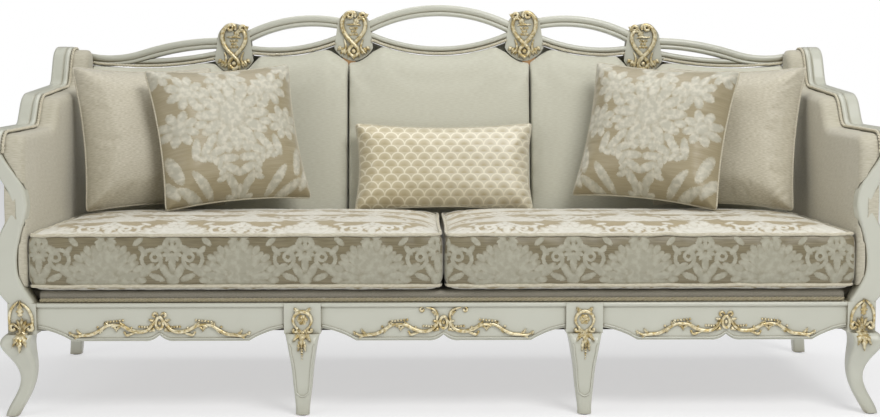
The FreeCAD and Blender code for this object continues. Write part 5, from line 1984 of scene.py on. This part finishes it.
@dataclass
class FixedUpholstery:
    """Back and arm pads, deck, outside panels, dust cover and the trims along them."""

    nodes: dict
    back: Material
    arm: Material
    deck: Material
    trim: Material
    trim_dark: Material
    rope_cloth: Material
    gimp_radius: float = 4.7 * MM
    gimp_pitch: float = 19.0 * MM
    gimp_net: float = 1.6 * MM
    gimp_step: float = 4.0 * MM
    gimp_reach: float = 6.0 * MM
    gimp_fewest: int = 5
    rope_pitch: float = 36.0 * MM
    rope_spans: int = 40
    dust_net: tuple[int, int] = (60, 24)
    dust_thick: float = 0.6 * MM
    dust_sag: float = 1.2 * MM

    def pad(self, node: str, voxel: float, cloth: Material,
            swell: float) -> Object:
        """Makes a pad that swells a little from its CAD shape and sags in soft waves.

        Args:
            node: The CAD node.
            voxel: Size of its net, in metres.
            cloth: Its cover.
            swell: The most that a point may move, in metres.

        Returns:
            The piece.
        """
        piece = copied(self.nodes[node], node + "_cover")
        remeshed(piece, voxel)
        low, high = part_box(node)
        back = max(high[1] - 0.02, low[1]) if "back" in node else 9.0
        kept = [vertex.index for vertex in piece.data.vertices
                if vertex.co.y > back or vertex.co.z < low[2] + 0.02]
        modified(piece, "SMOOTH", {"factor": 0.5, "iterations": 2})
        simulated(piece, 1.5, swell, 0.006, kept, 16)
        modified(piece, "SUBSURF", {"levels": 1, "render_levels": 1})
        moves = [vertex.normal * (0.7 * MM * noise.noise(vertex.co * 9.0))
                 for vertex in piece.data.vertices]
        for vertex, move in zip(piece.data.vertices, moves):
            vertex.co += move
        laid_cloth(piece, lambda point, normal:
                   (point.y if abs(normal.x) > 0.7 else point.x, point.z + 0.3 * point.y))
        select_only(piece)
        bpy.ops.object.shade_smooth()
        dressed(piece, [cloth], Body.FRAME, (node,))
        return piece

    def panel(self, node: str, cloth: Material) -> None:
        """Covers an outside panel: a taut cloth on board, with rounded edges.

        Args:
            node: The CAD node.
            cloth: Its cover.
        """
        piece = copied(self.nodes[node], node + "_cover")
        modified(piece, "BEVEL", {"width": 1.2 * MM, "segments": 2, "limit_method": "ANGLE"})
        laid_cloth(piece, lambda point, normal:
                   (point.y if abs(normal.x) > 0.7 else point.x, point.z))
        rounded(piece)
        dressed(piece, [cloth], Body.FRAME, (node,))

    def dust_cover(self) -> None:
        """Stretches the thin black-out cloth under the seat."""
        low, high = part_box("dust_cover")
        size = (high[0] - low[0], high[1] - low[1])
        places, faces, _ = filled_square(*self.dust_net)
        points = []
        for u, v in places:
            sag = self.dust_sag * math.cos(math.pi * u / 2.0) * math.cos(math.pi * v / 2.0)
            points.append((low[0] + size[0] * (u + 1.0) / 2.0, low[1] + size[1] * (v + 1.0) / 2.0,
                           high[2] - self.dust_thick - sag))
        piece = added("dust_cover_cloth", points, faces)
        laid_cloth(piece, lambda point, normal: (point.x, point.y))
        modified(piece, "SOLIDIFY", {"thickness": self.dust_thick, "offset": 0.0})
        dressed(piece, [self.deck], Body.FRAME, ("dust_cover",))

    def gimp(self, node: str, axis: int, across: Vector) -> None:
        """Twists a two-strand cord along the middle lines of a CAD trim.

        Args:
            node: The CAD node.
            axis: The axis that each of its solids starts along.
            across: A direction that it never runs along.
        """
        felt = copied(self.nodes[node], node + "_felt")
        remeshed(felt, self.gimp_net)
        work = bmesh.new()
        work.from_mesh(felt.data)
        bpy.data.objects.remove(felt)
        work.verts.index_update()
        seen, paths = set(), []
        for first in work.verts:
            skin, front = [], [first]
            while front:
                vertex = front.pop()
                if vertex.index not in seen:
                    seen.add(vertex.index)
                    skin.append(vertex.co.copy())
                    front += [edge.other_vert(vertex) for edge in vertex.link_edges]
            if skin:
                paths.append(traced(skin, axis, self.gimp_step, self.gimp_reach))
        work.free()
        paths = [path for path in paths if len(path) >= self.gimp_fewest]
        piece = twisted(node + "_cord", paths, self.gimp_radius, 2, self.gimp_pitch, across)
        laid_cloth(piece, lambda point, normal: (point.x + point.y, point.z))
        dressed(piece, [self.trim, self.trim_dark], Body.FRAME, (node,))

    def rope(self) -> None:
        """Twists the three-strand rope along the top of the aprons."""
        low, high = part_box("rope_trim")
        y, z = (low[1] + high[1]) / 2.0, (low[2] + high[2]) / 2.0
        radius = (high[2] - low[2]) / 2.0
        length = high[0] - low[0] - 2.0 * radius
        path = [Vector((low[0] + radius + length * k / self.rope_spans, y, z))
                for k in range(self.rope_spans + 1)]
        piece = twisted("rope_trim_cord", [path], radius, 3, self.rope_pitch, Vector((0, 0, 1)))
        laid_cloth(piece, lambda point, normal: (point.x, point.z + point.y))
        dressed(piece, [self.rope_cloth, self.trim_dark], Body.FRAME, ("rope_trim",))

    def build(self) -> None:
        """Makes all of it."""
        for word in ("left", "centre", "right"):
            self.pad("back_pad_" + word, 13 * MM, self.back, 3.0 * MM)
        for side in Side:
            self.pad("arm_pad_" + side.word, 11 * MM, self.arm, 2.0 * MM)
            self.panel("outside_arm_panel_" + side.word, self.arm)
        self.pad("deck_pad", 14 * MM, self.deck, 1.0 * MM)
        self.panel("outside_back_panel", self.back)
        self.dust_cover()
        self.rope()
        self.gimp("back_gimp", 0, Vector((0, 1, 0)))
        for side in Side:
            self.gimp("arm_gimp_" + side.word, 2, Vector((1, 0, 0)))


# The whole sofa


@dataclass(frozen=True)
class Palette:
    """Every finish of the sofa."""

    # The painted wood carries a painted shade besides its glaze
    painted: PaintedWood = PaintedWood("Painted beech, wiped glaze")
    gilding: Gilding = Gilding("Rubbed gold leaf")
    beech: BareWood = BareWood("Planed beech")
    steel: Plain = Plain("Zinc-plated steel")
    nylon: Plain = Plain("Black nylon", colour="#2A2A2B", worn="#3A3A3B", metallic=0.0,
                         roughness=0.5)
    back: Cloth = Cloth("Slubbed silk, stone", "#C4C3B3", "#BDBBAA", slub_mm=2.2, slub_long=7.0,
                        bump=0.3)
    arm: Cloth = Cloth("Slubbed silk, sand", "#BDB8A6", "#B0AA96", slub_mm=2.6, slub_long=8.0,
                       bump=0.5)
    cotton: Cloth = Cloth("Silk weave, dove", "#C4BEAC", "#B0A994", slub_mm=1.8, slub_long=6.0,
                          bump=0.4, roughness=0.55, sheen=0.6)
    deck: Cloth = Cloth("Deck cambric", "#8F8A7C", "#807B6E", slub_mm=1.5, slub_long=3.0, sheen=0.1)
    piping: Cloth = Cloth("Piping silk, champagne", "#C6C0AC", "#B3AC96", slub_mm=2.0,
                          slub_long=6.0)
    trim: Cloth = Cloth("Twisted rayon, cream", "#CFC9B4", "#B9B097", slub_mm=1.2, slub_long=10.0,
                        roughness=0.5, sheen=0.6)
    trim_dark: Cloth = Cloth("Twisted rayon, taupe", "#6F6449", "#5E543C", slub_mm=1.2,
                             slub_long=10.0, roughness=0.5, sheen=0.5)
    rope: Cloth = Cloth("Twisted rayon, olive", "#9C9377", "#887E62", slub_mm=1.2,
                        slub_long=10.0, roughness=0.5, sheen=0.5)
    border: Damask = Damask("Seat damask", "#7C7359", "#6B624A", figure="#989583",
                            glint="#ABA897", glint_share=0.6, spread=1.08, repeat_mm=347.0,
                            row_mm=150.0, fray_mm=2.6)
    # A lighter copy of the seat damask for the faces above and under the cords: painted light from
    # above
    top: Damask = Damask("Seat damask, painted light top", "#A39472", "#A09170", figure="#CFCCBF",
                         glint="#DEDBD1", glint_share=0.6, spread=1.2, repeat_mm=347.0,
                         row_mm=150.0, fray_mm=3.0)
    bouquet: Damask = Damask("Pillow damask", "#A0957A", "#988D70", motif=Motif.BOUQUET,
                             figure="#B4B1A1", glint="#D8D3C3", glint_share=0.55, spread=1.12,
                             repeat_mm=470.0, row_mm=500.0, fray_mm=4.0)
    satin: ScaleSatin = ScaleSatin("Scale satin", "#CDC3A6", roughness=0.36, sheen=0.4)


@dataclass
class Sofa:
    """The whole sofa, built sub-assembly by sub-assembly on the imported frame."""

    nodes: dict
    finish: dict = field(default_factory=dict)

    def mix_materials(self) -> None:
        """Makes the material of every finish."""
        palette = Palette()
        for name in Palette.__dataclass_fields__:
            self.finish[name] = getattr(palette, name).build()

    def finish_frame(self) -> None:
        """Gives each CAD node that stays its material."""
        kept = {"painted": ("front_post", "front_leg", "front_apron", "arm_rail", "back_post",
                            "crest_", "side_seat_rail", "back_seat_rail"),
                "beech": ("arm_tack_rail", "back_bottom_rail", "back_stiles", "corner_blocks",
                          "seat_cross_braces", "spring_rail"),
                "steel": ("frame_bolts", "seat_springs"),
                "nylon": ("foot_glides",)}
        for name, node in self.nodes.items():
            for word, starts in kept.items():
                if name.startswith(starts):
                    node.data.materials.clear()
                    node.data.materials.append(self.finish[word])
                    rounded(node, 32.0)

    def cushions(self) -> None:
        """Makes the two seat cushions."""
        for side, shift in ((Side.LEFT, 534.0), (Side.RIGHT, -517.0)):
            SeatCushion(side, shift).build(self.finish["border"], self.finish["top"],
                                           self.finish["piping"])

    def pillows(self) -> None:
        """Makes the five loose pillows."""
        plain, damask = (440.0, 440.0), (455.0, 430.0)
        rows = (
            (Pillow("pillow_plain_left", Body.PLAIN_LEFT, plain, 72.0, Pose(30.0, 15.0),
                    "plain_cotton", (), 1.3), "cotton", "cotton"),
            (Pillow("pillow_damask_left", Body.DAMASK_LEFT, damask, 72.0,
                    Pose(25.0, 18.0, -3.0), "pillow_damask", ("left", "right"), 2.1),
             "bouquet", "piping"),
            (Pillow("pillow_lumbar", Body.LUMBAR, (550.0, 280.0), 58.0, Pose(0.0, 14.0),
                    "lumbar_satin", (), 4.7), "satin", "piping"),
            (Pillow("pillow_plain_right", Body.PLAIN_RIGHT, plain, 72.0, Pose(-30.0, 15.0),
                    "plain_cotton", (), 5.9), "cotton", "cotton"),
            (Pillow("pillow_damask_right", Body.DAMASK_RIGHT, damask, 72.0,
                    Pose(-27.0, 18.0, 4.0), "pillow_damask", ("left", "right"), 8.2),
             "bouquet", "piping"))
        for pillow, cloth, piping in rows:
            pillow.build(self.nodes[pillow.node], self.finish[cloth], self.finish[piping])

    def build(self) -> None:
        """Makes every sub-assembly."""
        self.mix_materials()
        self.finish_frame()
        self.cushions()
        self.pillows()
        FixedUpholstery(self.nodes, self.finish["back"], self.finish["arm"],
                        self.finish["deck"], self.finish["trim"],
                        self.finish["trim_dark"], self.finish["rope"]).build()
        Mouldings(self.nodes, self.finish["painted"]).build()
        Carvings(self.nodes, self.finish["gilding"]).build()


# Room, light and camera

# Each lamp's name, place, target, size and power
LAMPS = (("key", (1.6, -3.0, 3.6), (0.0, 0.0, 0.5), 2.0, 122.0),
         ("fill", (-3.2, -2.8, 2.0), (0.0, 0.0, 0.5), 2.6, 32.0),
         ("top", (0.0, 0.6, 3.8), (0.0, 0.0, 0.6), 3.0, 62.0))
CAMERA_PLACE = (-0.067, -4.15, 0.856)
CAMERA_HEADING = (0.0154, 1.0, -0.0837)
CAMERA_LENS = 58.4        # millimetres, for a sensor 36 mm wide
PICTURE = (880, 417)
DAYLIGHT = 0.25           # strength of the light from all round


def stage_floor() -> None:
    """Lays the white studio floor, which glows a little so that shadows on it stay soft.

    It is painted darker towards the sofa, as a painted shadow under it.
    """
    size = 12.0
    floor = added("floor", [(-size, -size, 0), (size, -size, 0), (size, size, 0),
                            (-size, size, 0)], [(0, 1, 2, 3)])
    material, tree, shader = Finish("Matt floor").started()
    add = partial(add_node, tree)
    place = add("TexCoord").outputs["Object"]
    split = add("SeparateXYZ", {}, {0: place})
    # Painted shadow: the floor is painted darker towards the sofa and under it
    fade = add("MapRange", SMOOTH,
               {"Value": split.outputs["Y"], "From Min": -1.2, "From Max": -0.3})
    colour = add("Mix", COLOURS,
                 {"Factor": fade.outputs["Result"], MIX_A: linear("#C9C9C9"),
                  MIX_B: linear("#BDBDBD")})
    tree.links.new(colour.outputs[MIX_COLOUR], shader.inputs["Base Color"])
    shader.inputs["Roughness"].default_value = 0.55
    shader.inputs["Emission Color"].default_value = linear("#F4F4F6")
    shader.inputs["Emission Strength"].default_value = 0.55
    floor.data.materials.append(material)


def lamp(name: str, place: tuple[float, float, float], target: tuple[float, float, float],
         size: float, power: float) -> None:
    """Adds a square white area light that looks at a target.

    Args:
        name: The lamp's name.
        place: Where it hangs.
        target: What it looks at.
        size: Its side.
        power: Its power, in watts.
    """
    data = bpy.data.lights.new(name, "AREA")
    data.size = size
    data.energy = power
    light = bpy.data.objects.new(name, data)
    bpy.context.scene.collection.objects.link(light)
    light.location = place
    aim = Vector(target) - Vector(place)
    light.rotation_euler = aim.to_track_quat("-Z", "Y").to_euler()


def white_world() -> None:
    """A white backdrop with a softer white light from all round."""
    world = bpy.data.worlds.new("Studio")
    bpy.context.scene.world = world
    world.use_nodes = True
    tree = world.node_tree
    add = partial(add_node, tree)
    tree.nodes.clear()
    paths = add("LightPath")
    seen = add("Background", {}, {"Color": linear(WHITE), "Strength": 1.0})
    light = add("Background", {}, {"Color": linear("#F6F6F4"), "Strength": DAYLIGHT})
    mixed = add("MixShader", {},
                {0: paths.outputs["Is Camera Ray"], 1: light.outputs[0],
                 2: seen.outputs[0]})
    add("OutputWorld", {}, {"Surface": mixed.outputs[0]})


def add_camera() -> None:
    """Sets the camera where the picture was taken from."""
    data = bpy.data.cameras.new("Camera")
    data.lens = CAMERA_LENS
    data.sensor_width = 36.0
    data.clip_end = 60.0
    camera = bpy.data.objects.new("Camera", data)
    bpy.context.scene.collection.objects.link(camera)
    camera.location = CAMERA_PLACE
    camera.rotation_euler = Vector(CAMERA_HEADING).to_track_quat("-Z", "Y").to_euler()
    scene = bpy.context.scene
    scene.camera = camera
    scene.render.resolution_x, scene.render.resolution_y = PICTURE
    scene.render.resolution_percentage = 100


def main() -> None:
    """Builds the sofa, its light and its camera."""
    logging.basicConfig(level=logging.INFO)
    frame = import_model()
    bpy.context.scene.render.engine = "CYCLES"
    bpy.context.scene.view_settings.view_transform = "Standard"
    Sofa(frame["nodes"]).build()
    stage_floor()
    white_world()
    for light in LAMPS:
        lamp(*light)
    add_camera()


if __name__ == "__main__":
    main()
